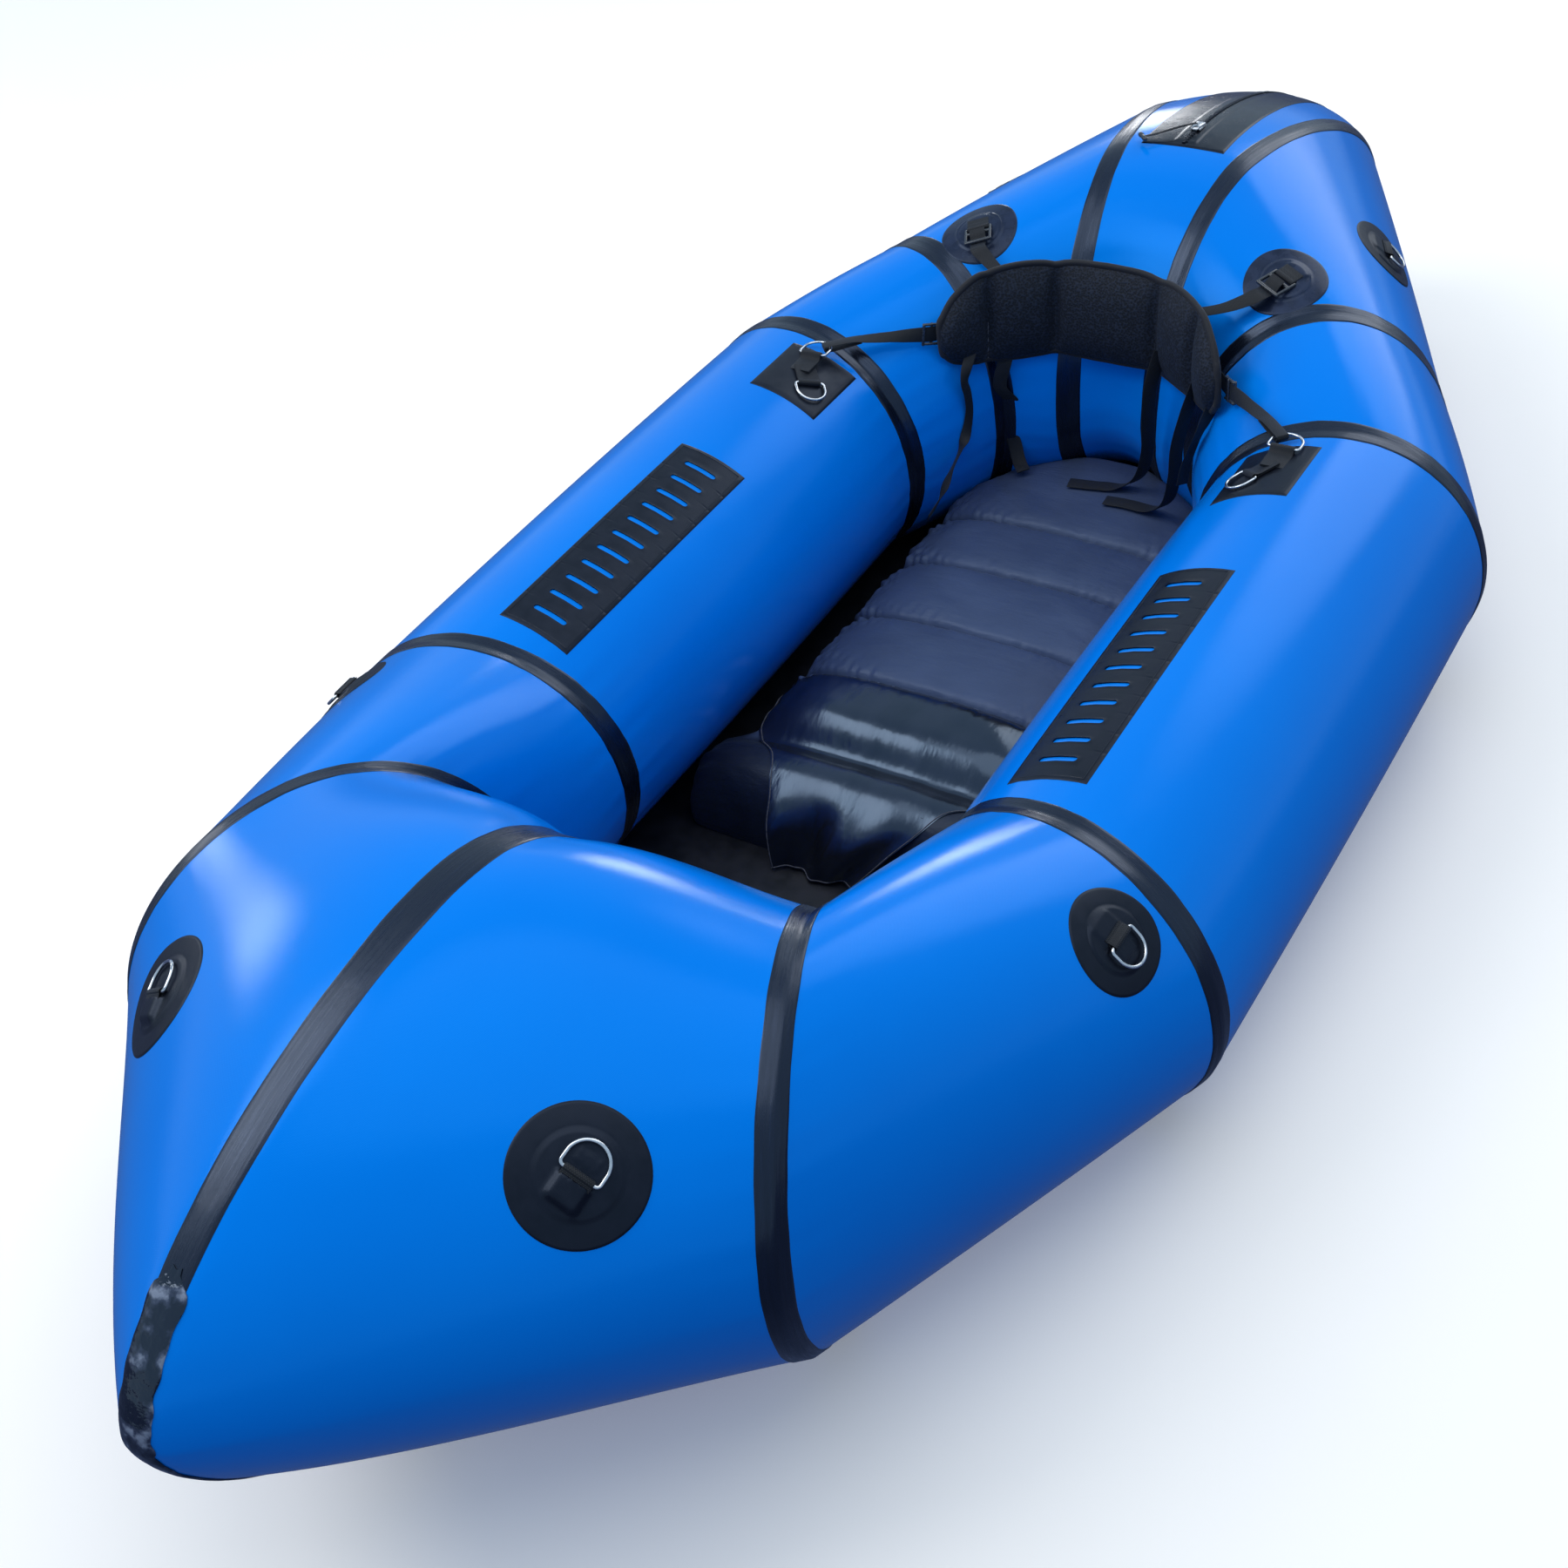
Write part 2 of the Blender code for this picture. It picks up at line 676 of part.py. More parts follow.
def add_tab(target, name, place, bar, skin_top, back=TAB_BACK, spans=1):
    """Joins a folded webbing tab to a patch: its strip on the skin and the loop that a bar lies in."""
    half = WEBBING_WIDTH / 2
    cutter = add_box(f"{name}_strip_cut", (-half, -back, -OVERRUN), (half, TAB_FRONT, OVERRUN), "webbing", bar)
    low = skin_top - PATCH_THICKNESS / 2
    boolean(target, "UNION", add_skin_piece(f"{name}_strip", place, cutter, low, skin_top + WEBBING, "webbing"))
    boolean(target, "UNION", add_loop(f"{name}_loop", place, bar, low, spans))


def raised_frame(place, height):
    """The place's frame, lifted along its own Z."""
    return place.frame @ Matrix.Translation((0, 0, height))


def ring_path():
    """The centre line of a D-ring, its bar along X at the origin and its bow towards +Y."""
    half = RING_WIDTH / 2
    centre = RING_REACH - half
    diagonal = RING_CORNER * (1 - math.sqrt(0.5))
    corner = [
        (half - RING_CORNER, 0),
        (half - diagonal, diagonal),
        (half, RING_CORNER),
    ]
    turns = [math.pi * step / BOW_STEPS for step in range(BOW_STEPS + 1)]
    bow = [(half * math.cos(turn), centre + half * math.sin(turn)) for turn in turns]
    return corner + bow + [(-x, y) for x, y in reversed(corner)]


def add_ring(name, place):
    """A welded wire D-ring."""
    path = [np.array((x, y, 0.0)) for x, y in ring_path()]
    sections = []
    for index, point in enumerate(path):
        along = unit(path[(index + 1) % len(path)] - path[index - 1])
        across = np.cross(along, UP)
        angles = [2 * math.pi * (step + 0.5) / WIRE_SIDES for step in range(WIRE_SIDES)]
        sections.append([
            point + across * WIRE_RADIUS * math.cos(angle) + UP * WIRE_RADIUS * math.sin(angle) for angle in angles
        ])
    points = [point for section in sections for point in section]
    faces = grid_faces(len(sections) + 1, WIRE_SIDES, True, 0)
    faces = [tuple(index % len(points) for index in face) for face in faces]
    return add_object(name, points, faces, "wire", place)


RING_DISC_SHARE = 0.62
RING_PLACE_SHARES = {
    # panel, share along it, angle, heading, and the diameter of the patch
    "bow": ("bow", 0.66, 135, (0, 1, 0.15), BOW_PATCH_DIAMETER),
    "fore": ("fore", 0.842, 131, (1, 0, -1), RING_PATCH_DIAMETER),
    "stern": ("quarter", 0.40, 135, (1, 0.6, -1), RING_PATCH_DIAMETER),
}


def build_ring_patches():
    for name, side in SIDES_OF_BOAT:
        for where, (panel, along, degrees, heading, diameter) in RING_PLACE_SHARES.items():
            place = Place(PANELS[panel], along, degrees, heading, side)
            label = f"{where}_ring_patch_{name}"
            patch = add_skin_piece(label, place, disc_cutter(f"{label}_cut", place, diameter), GAP, SKIN_TOP)
            cutter = disc_cutter(f"{label}_disc_cut", place, diameter * RING_DISC_SHARE)
            disc = add_skin_piece(f"{label}_disc", place, cutter, GAP + PATCH_THICKNESS / 2, RAISED_TOP)
            boolean(patch, "UNION", disc)
            bar = raised_frame(place, RAISED_TOP + BAR_LIFT)
            add_tab(patch, label, place, bar, RAISED_TOP)
            add_ring(f"{where}_ring_{name}", bar)


# Share along the side panel and angle of the patch, its free ring's tab and the tab that the backrest pulls on
TIE_PATCH_SHARES = (0.880, 69)
FREE_TAB_SHARES = (0.868, 65)
STRAP_TAB_SHARES = (0.928, 72)


def strap_bar_place(side):
    """Where the backrest's strap pulls on the patch, and the frame of the bar there, straight across the boat."""
    place = Place(PANELS["side"], *STRAP_TAB_SHARES, FORE_AND_AFT, side)
    return place, frame(place.origin + UP * STRAP_BAR_HEIGHT, FORE_AND_AFT, UP)


def build_tie_patches():
    for name, side in SIDES_OF_BOAT:
        place = Place(PANELS["side"], *TIE_PATCH_SHARES, FORE_AND_AFT, side)
        label = f"tie_patch_{name}"
        width, length = TIE_PATCH_WIDTH / 2, TIE_PATCH_LENGTH / 2
        cutter = box_cutter(f"{label}_cut", place, -width, width, -length, length)
        patch = add_skin_piece(label, place, cutter, GAP, SKIN_TOP)
        free = Place(PANELS["side"], *FREE_TAB_SHARES, (-1, -1, 0), side)
        bar = raised_frame(free, SKIN_TOP + BAR_LIFT)
        add_tab(patch, f"{label}_free", free, bar, SKIN_TOP, TIE_TAB_BACK)
        add_ring(f"tie_ring_{name}", bar)
        pulled, bar = strap_bar_place(side)
        add_tab(patch, f"{label}_strap", pulled, bar, SKIN_TOP, TIE_TAB_BACK, 2)
        add_ring(f"backrest_ring_{name}", bar)


LADDER_ALONG_SHARE = 0.326
LADDER_ANGLE_SHARE = 70.8


def build_ladders():
    """The lash strips on top of the side tubes, with a row of slots across each."""
    for name, side in SIDES_OF_BOAT:
        place = Place(PANELS["side"], LADDER_ALONG_SHARE, LADDER_ANGLE_SHARE, (0, 1, 0), side)
        label = f"lash_strip_{name}"
        width, length = LADDER_WIDTH / 2, LADDER_LENGTH / 2
        cutter = box_cutter(f"{label}_cut", place, -width, width, -length, length)
        strip = add_skin_piece(label, place, cutter, GAP, SKIN_TOP)
        for slot in range(LADDER_SLOTS):
            middle = (slot - (LADDER_SLOTS - 1) / 2) * SLOT_PITCH
            low, high = middle - SLOT_WIDTH / 2, middle + SLOT_WIDTH / 2
            boolean(strip, "DIFFERENCE", box_cutter(
                f"{label}_slot_{slot}", place, -SLOT_LENGTH / 2, SLOT_LENGTH / 2, low, high
            ))


# Backrest

BUCKLE_TILT_ANGLE = 12
BUCKLE_MIDDLE_SHARE = 0.26
REAR_STRAP_SHARE = 0.55
REAR_STRAP_HEIGHT_SHARE = 0.28
# The backrest's front face in plan, as shares of its length across and of the cockpit's aft reach along.
BACKREST_PLAN_SHARES = ((0.0, 0.987), (0.155, 0.975), (0.299, 0.900), (0.424, 0.800))
BACKREST_SEAM_SHARES = (0.31, 0.70)
BACKREST_STATION_SHARES = (0.0, 0.12, 0.24, 0.31, 0.38, 0.50, 0.63, 0.70, 0.77, 0.88, 0.96, 1.0)
BACKREST_TIP_HEIGHT_SHARE = 0.72
BACKREST_TIP_THICKNESS_SHARE = 0.55
NEARBY_SHARE = 0.05


def smooth_path(points, count):
    """A smooth curve through points, as count places evenly spread over its stretches."""
    ends = [2 * points[0] - points[1], *points, 2 * points[-1] - points[-2]]
    found = []
    for step in range(count):
        at = step / (count - 1) * (len(points) - 1)
        index = min(int(at), len(points) - 2)
        t = at - index
        p0, p1, p2, p3 = ends[index:index + 4]
        found.append(0.5 * (
            2 * p1 + (p2 - p0) * t + (2 * p0 - 5 * p1 + 4 * p2 - p3) * t ** 2 + (3 * p1 - p0 - 3 * p2 + p3) * t ** 3
        ))
    return found


def backrest_plan():
    """The front face in plan from the middle to the port end, and the distance along it."""
    points = [
        np.array((x * BACKREST_LENGTH, y * COCKPIT_AFT_LENGTH - BACKREST_STAND_OFF)) for x, y in BACKREST_PLAN_SHARES
    ]
    path = smooth_path(points, PLAN_STEPS)
    steps = [0.0]
    for first, second in zip(path, path[1:]):
        steps.append(steps[-1] + float(np.linalg.norm(second - first)))
    return np.array(path), np.array(steps) / steps[-1]


def backrest_station(share):
    """The place on the front face in plan at a share of the half length, and the way out of its back."""
    path, steps = backrest_plan()
    place = np.array([np.interp(share, steps, path[:, axis]) for axis in (0, 1)])
    if share < NEARBY_SHARE:
        return place, FORE_AND_AFT[:2]
    before, after = (
        np.array([np.interp(at, steps, path[:, axis]) for axis in (0, 1)])
        for at in (share - NEARBY_SHARE, share + NEARBY_SHARE)
    )
    along = unit(after - before)
    return place, np.array((-along[1], along[0]))


def backrest_end_blend(share):
    """How far the pad has tapered towards its end: nothing up to its outer seam, all of it at its tip."""
    seam = BACKREST_SEAM_SHARES[-1]
    return min(max((share - seam) / (1 - seam), 0.0), 1.0) ** 1.5


def backrest_middle(share):
    drop = BACKREST_MIDDLE_HEIGHT - BACKREST_END_MIDDLE_HEIGHT
    return BACKREST_MIDDLE_HEIGHT - drop * backrest_end_blend(share)


PAD_FACE_POWER = 0.7
PAD_RIM_POWER = 0.55


def backrest_section(share, side):
    """One upright section of the pad: thick in the middle, drawn in at the rim and at the sewn channels."""
    place, back = backrest_station(share)
    end = backrest_end_blend(share)
    height = BACKREST_HEIGHT + (BACKREST_END_HEIGHT - BACKREST_HEIGHT) * end
    middle = backrest_middle(share)
    thickness = BACKREST_THICKNESS + (BACKREST_END_THICKNESS - BACKREST_THICKNESS) * end
    if share in BACKREST_SEAM_SHARES:
        thickness -= BACKREST_CHANNEL
    if share == BACKREST_STATION_SHARES[-1]:
        height *= BACKREST_TIP_HEIGHT_SHARE
        thickness *= BACKREST_TIP_THICKNESS_SHARE
    centre = place + back * (BACKREST_THICKNESS / 2)
    points = []
    for step in range(PAD_SIDES):
        angle = 2 * math.pi * (step + 0.5) / PAD_SIDES
        out = squared(math.cos(angle), PAD_FACE_POWER) * thickness / 2
        lift = squared(math.sin(angle), PAD_RIM_POWER) * height / 2
        x, y = centre + back * out
        lean = BACKREST_LEAN * lift / BACKREST_HEIGHT
        points.append(np.array((x * side, y + lean, middle + lift)))
    return points


def build_backrest():
    sections = [backrest_section(share, -1) for share in reversed(BACKREST_STATION_SHARES[1:])]
    sections += [backrest_section(share, 1) for share in BACKREST_STATION_SHARES]
    add_loft("backrest_pad", sections, "pad")


def back_of_pad(share, height, distance):
    """A place behind the pad, at a distance off its back and a height above the ground."""
    place, back = backrest_station(share)
    x, y = place + back * (BACKREST_THICKNESS + distance)
    lean = BACKREST_LEAN * (height - backrest_middle(share)) / BACKREST_HEIGHT
    return np.array((x, y + lean, height))


def loop_stations(centre, along, above, radius, first, last):
    """Stations of a strap's turn round a bar, from below it to above it."""
    across = np.cross(along, above)
    stations = []
    for step in range(first, last + 1):
        angle = math.pi * (0.5 + step / 4)
        stations.append((centre + (along * math.cos(angle) - above * math.sin(angle)) * radius, across))
    return stations


STRAP_RETURN = 0.028
TAIL_FOOT_DRIFT = 0.012
TAIL_SHARE = 0.52
TAIL_BEHIND_SHARE = 0.7
TAIL_TOP_SHARE = 0.4
TAIL_STATION_SHARES = (0.12, 0.35, 0.65, 1.0)
STRAP_PAST_END_SHARE = 1.03
STRAP_BACK_SHARES = (0.96, 0.88, 0.77, 0.70, 0.63, 0.50, 0.48)
TWIST_STEPS = 6


def twist_stations(first, last, count):
    """Stations between two others, along which the strap's width turns evenly from the one to the other."""
    stations = []
    for step in range(1, count):
        share = step / count
        place, across = (
            np.array(first[item]) * (1 - share) + np.array(last[item]) * share for item in (0, 1)
        )
        stations.append((place, across))
    return stations


def ring_turn_stations():
    """The port front strap's sewn return below its ring, the turn inside the bow and the run back over it."""
    _, bar = strap_bar_place(1)
    arc_centre = np.array(bar.translation) + FORE_AND_AFT * (RING_REACH - RING_WIDTH / 2)
    end = back_of_pad(1.0, BACKREST_END_MIDDLE_HEIGHT, GAP + WEBBING)
    along = unit((end - arc_centre) * np.array((1, 1, 0)))
    inside = math.sqrt((RING_WIDTH / 2) ** 2 - (STRAP_WIDTH / 2) ** 2) - WIRE_RADIUS
    turn_centre = arc_centre + along * inside
    radius = WIRE_RADIUS + GAP + WEBBING
    across = np.cross(along, UP)
    return [
        (turn_centre + along * (STRAP_RETURN + WIRE_DIAMETER) - UP * radius, across),
        *loop_stations(turn_centre, along, UP, radius, 0, 4),
        (turn_centre + along * STRAP_RETURN + UP * radius, across),
    ]


def build_front_straps():
    """Each front strap runs from its ring along the pad's back and hangs down behind the pad as a free tail."""
    middle = BACKREST_END_MIDDLE_HEIGHT
    rise = unit(np.array((0.0, BACKREST_LEAN, BACKREST_HEIGHT)))
    close = 2 * GAP + WEBBING / 2
    stations = ring_turn_stations()
    past_end = (back_of_pad(STRAP_PAST_END_SHARE, middle, close), rise)
    stations += [*twist_stations(stations[-1], past_end, TWIST_STEPS), past_end]
    stations += [(back_of_pad(share, middle, close), rise) for share in STRAP_BACK_SHARES]
    behind = close + WEBBING * TAIL_BEHIND_SHARE
    top = back_of_pad(TAIL_SHARE, middle + STRAP_WIDTH * TAIL_TOP_SHARE, behind)
    low = back_of_pad(TAIL_SHARE, BACKREST_MIDDLE_HEIGHT - BACKREST_HEIGHT / 2, behind)
    inner, outer = (
        back_of_pad(share, middle, behind) for share in (TAIL_SHARE - NEARBY_SHARE, TAIL_SHARE + NEARBY_SHARE)
    )
    foot = low - UP * TAIL_LENGTH - FORE_AND_AFT * TAIL_FOOT_DRIFT
    tail = [(top, outer - inner), (low, outer - inner)]
    for share in TAIL_STATION_SHARES:
        tail.append((low + (foot - low) * share - FORE_AND_AFT * TAIL_FOOT_DRIFT, outer - inner))
    for name, side in SIDES_OF_BOAT:
        strap = add_ribbon(f"front_strap_{name}", stations, STRAP_WIDTH, WEBBING, "webbing", side)
        hanging = add_ribbon(f"front_strap_tail_{name}", tail, STRAP_WIDTH, WEBBING, "webbing", side)
        boolean(strap, "UNION", hanging)


STRAP_PATCH_SHARES = (0.235, 81)
STRAP_HEADING_SHARES = (-0.45, -1.0, 0.0)


def strap_patch_place(side):
    return Place(PANELS["quarter"], *STRAP_PATCH_SHARES, STRAP_HEADING_SHARES, side)


def build_strap_patches():
    """The patches behind the backrest, each with a ladder-lock buckle in its webbing tab."""
    for name, side in SIDES_OF_BOAT:
        place = strap_patch_place(side)
        label = f"strap_patch_{name}"
        cutter = disc_cutter(f"{label}_cut", place, RING_PATCH_DIAMETER)
        patch = add_skin_piece(label, place, cutter, GAP, SKIN_TOP)
        cutter = disc_cutter(f"{label}_disc_cut", place, RING_PATCH_DIAMETER * RING_DISC_SHARE)
        boolean(patch, "UNION", add_skin_piece(f"{label}_disc", place, cutter, GAP + PATCH_THICKNESS / 2, RAISED_TOP))
        add_tab(patch, label, place, raised_frame(place, RAISED_TOP + BAR_LIFT), RAISED_TOP)
        build_buckle(f"ladder_lock_{name}", buckle_frame(place))


def buckle_frame(place):
    """The frame of a buckle on its round bar, pulled up off the skin by its strap."""
    return raised_frame(place, RAISED_TOP + BAR_LIFT) @ Matrix.Rotation(math.radians(BUCKLE_TILT_ANGLE), 4, "X")


def build_buckle(name, bar):
    """A ladder-lock buckle: a round bar in the tab, two sides, a middle bar and an outer bar for the strap."""
    half = BUCKLE_WIDTH / 2
    thick = BUCKLE_THICKNESS / 2
    inside = half - BUCKLE_SIDE_WIDTH
    buckle = add_box(name, (-half, -BUCKLE_BAR_WIDTH / 2, -thick), (half, BUCKLE_LENGTH, thick), "plastic", bar)
    first = BUCKLE_LENGTH * BUCKLE_MIDDLE_SHARE
    windows = ((-OVERRUN, first), (first + BUCKLE_BAR_WIDTH, BUCKLE_LENGTH - BUCKLE_BAR_WIDTH))
    for index, (low, high) in enumerate(windows):
        boolean(buckle, "DIFFERENCE", add_box(
            f"{name}_window_{index}", (-inside, low, -OVERRUN), (inside, high, OVERRUN), "plastic", bar
        ))
    boolean(buckle, "UNION", add_bar(f"{name}_pin", WIRE_RADIUS, BUCKLE_WIDTH - BUCKLE_SIDE_WIDTH, 0, "plastic", bar))


def build_rear_straps():
    """Each rear strap turns round its buckle's outer bar and runs down to the top of the pad's back."""
    for name, side in SIDES_OF_BOAT:
        bar = buckle_frame(strap_patch_place(1))
        outer = np.array(bar @ Vector((0, BUCKLE_LENGTH - BUCKLE_BAR_WIDTH / 2, 0)))
        above = np.array(bar.to_3x3() @ Vector((0, 0, 1)))
        along = np.array(bar.to_3x3() @ Vector((0, 1, 0)))
        radius = math.hypot(BUCKLE_BAR_WIDTH, BUCKLE_THICKNESS) / 2 + GAP + WEBBING / 2
        height = BACKREST_MIDDLE_HEIGHT + BACKREST_HEIGHT * REAR_STRAP_HEIGHT_SHARE
        end = back_of_pad(REAR_STRAP_SHARE, height, 2 * (WEBBING + GAP))
        across = np.cross(along, above)
        stations = [
            (outer + along * (BUCKLE_BAR_WIDTH * 2) - above * radius, across),
            *loop_stations(outer, along, above, radius, 0, 4),
            (outer + along * (BUCKLE_BAR_WIDTH * 2) + above * radius, across),
            (end, across),
        ]
        add_ribbon(f"rear_strap_{name}", stations, STRAP_WIDTH, WEBBING, "webbing", side)


# Seat

SEAT_VALLEY_SHARES = (0.302, 0.478, 0.654, 0.808)
SEAT_LOBE_SHARES = (0.0, 0.16, 0.5, 0.84)
SEAT_SECTION_POINTS = 18
# Where the seat's front has sections, as shares of its edge radius, and its rear, as shares of its last stretch
SEAT_FRONT_SHARES = (0.02, 0.15, 0.45, 0.8, 1.6)
SEAT_REAR_SHARES = (0.5, 0.8, 0.97)
# The bolster's reach back from the front in edge radii, and how it widens
BOLSTER_REACH_SHARE = 4
BOLSTER_POWER = 0.5
SEAT_FRONT_HEIGHT_SHARE = 0.35
SEAT_FRONT_WIDTH_SHARE = 0.86
SEAT_REAR_HEIGHT_SHARE = 0.55
SEAT_REAR_WIDTH_SHARE = 0.25
SEAT_REAR_RISE_SHARE = 1.3
CHANNEL_REACH_SHARE = 0.25
CHANNEL_SIDE_SHARE = 0.6
# The widest height of a section, and how square it is at its sides, its top and its underside
SEAT_WIDEST_SHARE = 0.42
SEAT_SIDE_POWER = 0.62
SEAT_TOP_POWER = 0.6
SEAT_FOOT_POWER = 0.3


def seat_valleys():
    return [SEAT_FRONT + (SEAT_REAR - SEAT_FRONT) * share for share in SEAT_VALLEY_SHARES]


def seat_stations():
    """Places along the seat where it has a section: close together at its round ends and at the channels."""
    edge = SEAT_EDGE_RADIUS
    places = [SEAT_FRONT + edge * share for share in SEAT_FRONT_SHARES]
    bounds = [*seat_valleys(), SEAT_REAR]
    for start, end in zip(bounds, bounds[1:]):
        places += [start + (end - start) * share for share in SEAT_LOBE_SHARES]
    tail = bounds[-2] + (SEAT_REAR - bounds[-2]) * SEAT_LOBE_SHARES[-1]
    places += [tail + (SEAT_REAR - tail) * share for share in SEAT_REAR_SHARES]
    return places


def round_end(distance, radius):
    """How full the seat is at a distance from its end: nothing at the end itself, all of it past the radius."""
    return math.sqrt(max(1 - max(1 - distance / radius, 0) ** 2, 0))


def blend(low, share):
    return low + (1 - low) * share


def seat_size(y):
    """Half the width and the height of the seat at a place along it."""
    bolster = min(max(1 - (y - SEAT_FRONT) / (BOLSTER_REACH_SHARE * SEAT_EDGE_RADIUS), 0), 1)
    half = SEAT_WIDTH / 2 + (SEAT_BOLSTER_WIDTH - SEAT_WIDTH) / 2 * bolster ** BOLSTER_POWER
    front = round_end(y - SEAT_FRONT, SEAT_EDGE_RADIUS)
    rear = round_end(SEAT_REAR - y, SEAT_REAR_ROUND)
    half *= blend(SEAT_FRONT_WIDTH_SHARE, front) * max(rear, SEAT_REAR_WIDTH_SHARE)
    height = SEAT_HEIGHT * blend(SEAT_FRONT_HEIGHT_SHARE, front)
    height *= blend(SEAT_REAR_HEIGHT_SHARE, min(rear * SEAT_REAR_RISE_SHARE, 1))
    if any(abs(y - valley) < SEAT_CHANNEL * CHANNEL_REACH_SHARE for valley in seat_valleys()):
        height -= SEAT_CHANNEL
        half -= SEAT_CHANNEL * CHANNEL_SIDE_SHARE
    return half, height


def seat_section(y):
    """One section across the seat, from its port side over the top and back under it."""
    half, height = seat_size(y)
    bottom = FLOOR_THICKNESS + GAP
    middle = bottom + height * SEAT_WIDEST_SHARE
    points = []
    for step in range(SEAT_SECTION_POINTS):
        angle = 2 * math.pi * step / SEAT_SECTION_POINTS
        x = squared(math.cos(angle), SEAT_SIDE_POWER) * half
        if math.sin(angle) >= 0:
            z = middle + (bottom + height - middle) * math.sin(angle) ** SEAT_TOP_POWER
        else:
            z = middle - (middle - bottom) * abs(math.sin(angle)) ** SEAT_FOOT_POWER
        points.append(np.array((x, y, z)))
    return points


def build_seat():
    add_loft("seat", [seat_section(y) for y in seat_stations()], "seat")


def seat_top(x, y):
    """The height of the seat's upper side at a place on one of its sections."""
    upper = sorted((tuple(point) for point in seat_section(y)[:SEAT_SECTION_POINTS // 2 + 1]))
    return float(np.interp(x, [point[0] for point in upper], [point[2] for point in upper]))


FLAP_TOP_SHARES = (-0.66, 0.47)
FLAP_FOOT_SHARES = (-0.42, 0.06)
FLAP_COLUMNS = 9
FLAP_FOLD_COLUMNS = 4
FLAP_DROP_SHARES = (0.80, 0.52, 0.26, 0.06)
FLAP_TURN_SHARE = 0.1
FLAP_LEAN_SHARE = 2.0
FLAP_RISE_SHARE = 0.62
FLAP_FOOT_SHARE = 0.3
FLAP_OUT_SHARES = (0.0, -1.0, 0.25)


def flap_point(row, x, over, fold):
    """A place on the apron's inner side and the way out of it: over the bolster first, then in front of it."""
    if row < len(over):
        y = over[row]
        lean = (row / (len(over) + len(FLAP_DROP_SHARES))) ** 2 * FLAP_LEAN_SHARE
        return np.array((x, y, seat_top(x, y) + FLAP_OFFSET)), unit(UP - FORE_AND_AFT * lean)
    drop = FLAP_DROP_SHARES[row - len(over)]
    depth = 1 - drop
    y = SEAT_FRONT - FLAP_OFFSET * 2 - fold * depth - SEAT_EDGE_RADIUS * FLAP_FOOT_SHARE * depth
    z = FLOOR_THICKNESS + GAP + SEAT_HEIGHT * FLAP_RISE_SHARE * drop
    return np.array((x, y, z)), unit(np.array(FLAP_OUT_SHARES))


def build_flap():
    """The glossy apron sewn on the seat's front channel, over the bolster and down in front of it in folds."""
    front, back = SEAT_FRONT + SEAT_EDGE_RADIUS * FLAP_TURN_SHARE, seat_valleys()[0] + SEAT_CHANNEL
    over = [y for y in reversed(seat_stations()) if front < y < back]
    half = SEAT_BOLSTER_WIDTH / 2
    rows = len(over) + len(FLAP_DROP_SHARES)
    low, high = [], []
    for row in range(rows):
        fall = max(row - 1, 0) / (rows - 2)
        left, right = (half * (top + (foot - top) * fall) for top, foot in zip(FLAP_TOP_SHARES, FLAP_FOOT_SHARES))
        lower, upper = [], []
        for column in range(FLAP_COLUMNS):
            x = left + (right - left) * column / (FLAP_COLUMNS - 1)
            fold = FLAP_FOLD * (1 - math.cos(2 * math.pi * column / FLAP_FOLD_COLUMNS)) / 2
            base, out = flap_point(row, x, over, fold)
            lower.append(base)
            upper.append(base + out * FLAP_THICKNESS)
        low.append(lower)
        high.append(upper)
    add_shell("seat_flap", high, low, False, "flap")


# Cargo zip


# The angles round the stern between which its crest is looked for, and their step
CREST_ANGLE_SHARES = (60, 175, 0.5)


def crest_height(y):
    """The height of the stern's crest on the middle line."""
    best = min((abs(STERN.point(0.5, degrees)[1] - y), degrees) for degrees in np.arange(*CREST_ANGLE_SHARES))
    return float(STERN.point(0.5, best[1])[2])


def slider_centre():
    """The middle of the circle that the slider follows, through three places on the crest."""
    places = [np.array((y, crest_height(y))) for y in (
        SLIDER_START, SLIDER_START + SLIDER_TRAVEL / 2, SLIDER_START + SLIDER_TRAVEL
    )]
    (ay, az), (by, bz), (cy, cz) = places
    spread = 2 * (ay * (bz - cz) + by * (cz - az) + cy * (az - bz))
    squares = [place @ place for place in places]
    y = (squares[0] * (bz - cz) + squares[1] * (cz - az) + squares[2] * (az - bz)) / spread
    z = (squares[0] * (cy - by) + squares[1] * (ay - cy) + squares[2] * (by - ay)) / spread
    return np.array((0.0, y, z))


def slider_frame():
    """The slider's own frame: on the crest at its start, Y along the zip and Z out of the skin."""
    centre = slider_centre()
    spot = np.array((0.0, SLIDER_START, crest_height(SLIDER_START)))
    up = unit(spot - centre)
    return frame(spot, FORE_AND_AFT - up * float(FORE_AND_AFT @ up), up)


def rail_cutter():
    """A block under the circle of the slider's travel, so that the teeth there stand as high as the circle."""
    centre = slider_centre()
    top = np.linalg.norm(np.array((0.0, SLIDER_START, crest_height(SLIDER_START))) - centre) + SKIN_TOP + TEETH_HEIGHT
    half = TEETH_WIDTH / 2 - GAP
    turns = np.arange(-SLIDER_LENGTH, SLIDER_TRAVEL + 2 * SLIDER_LENGTH, SLIDER_LENGTH) / top
    first = math.atan2(SLIDER_START - centre[1], crest_height(SLIDER_START) - centre[2])
    sections = []
    for angle in first + turns:
        out = np.array((0.0, math.sin(angle), math.cos(angle)))
        low, high = centre + out * (top - OVERRUN), centre + out * top
        sections.append([point + np.array((x, 0, 0)) for x, point in (
            (-half, low), (half, low), (half, high), (-half, high)
        )])
    return add_loft("zip_rail_cut", sections, "patch")


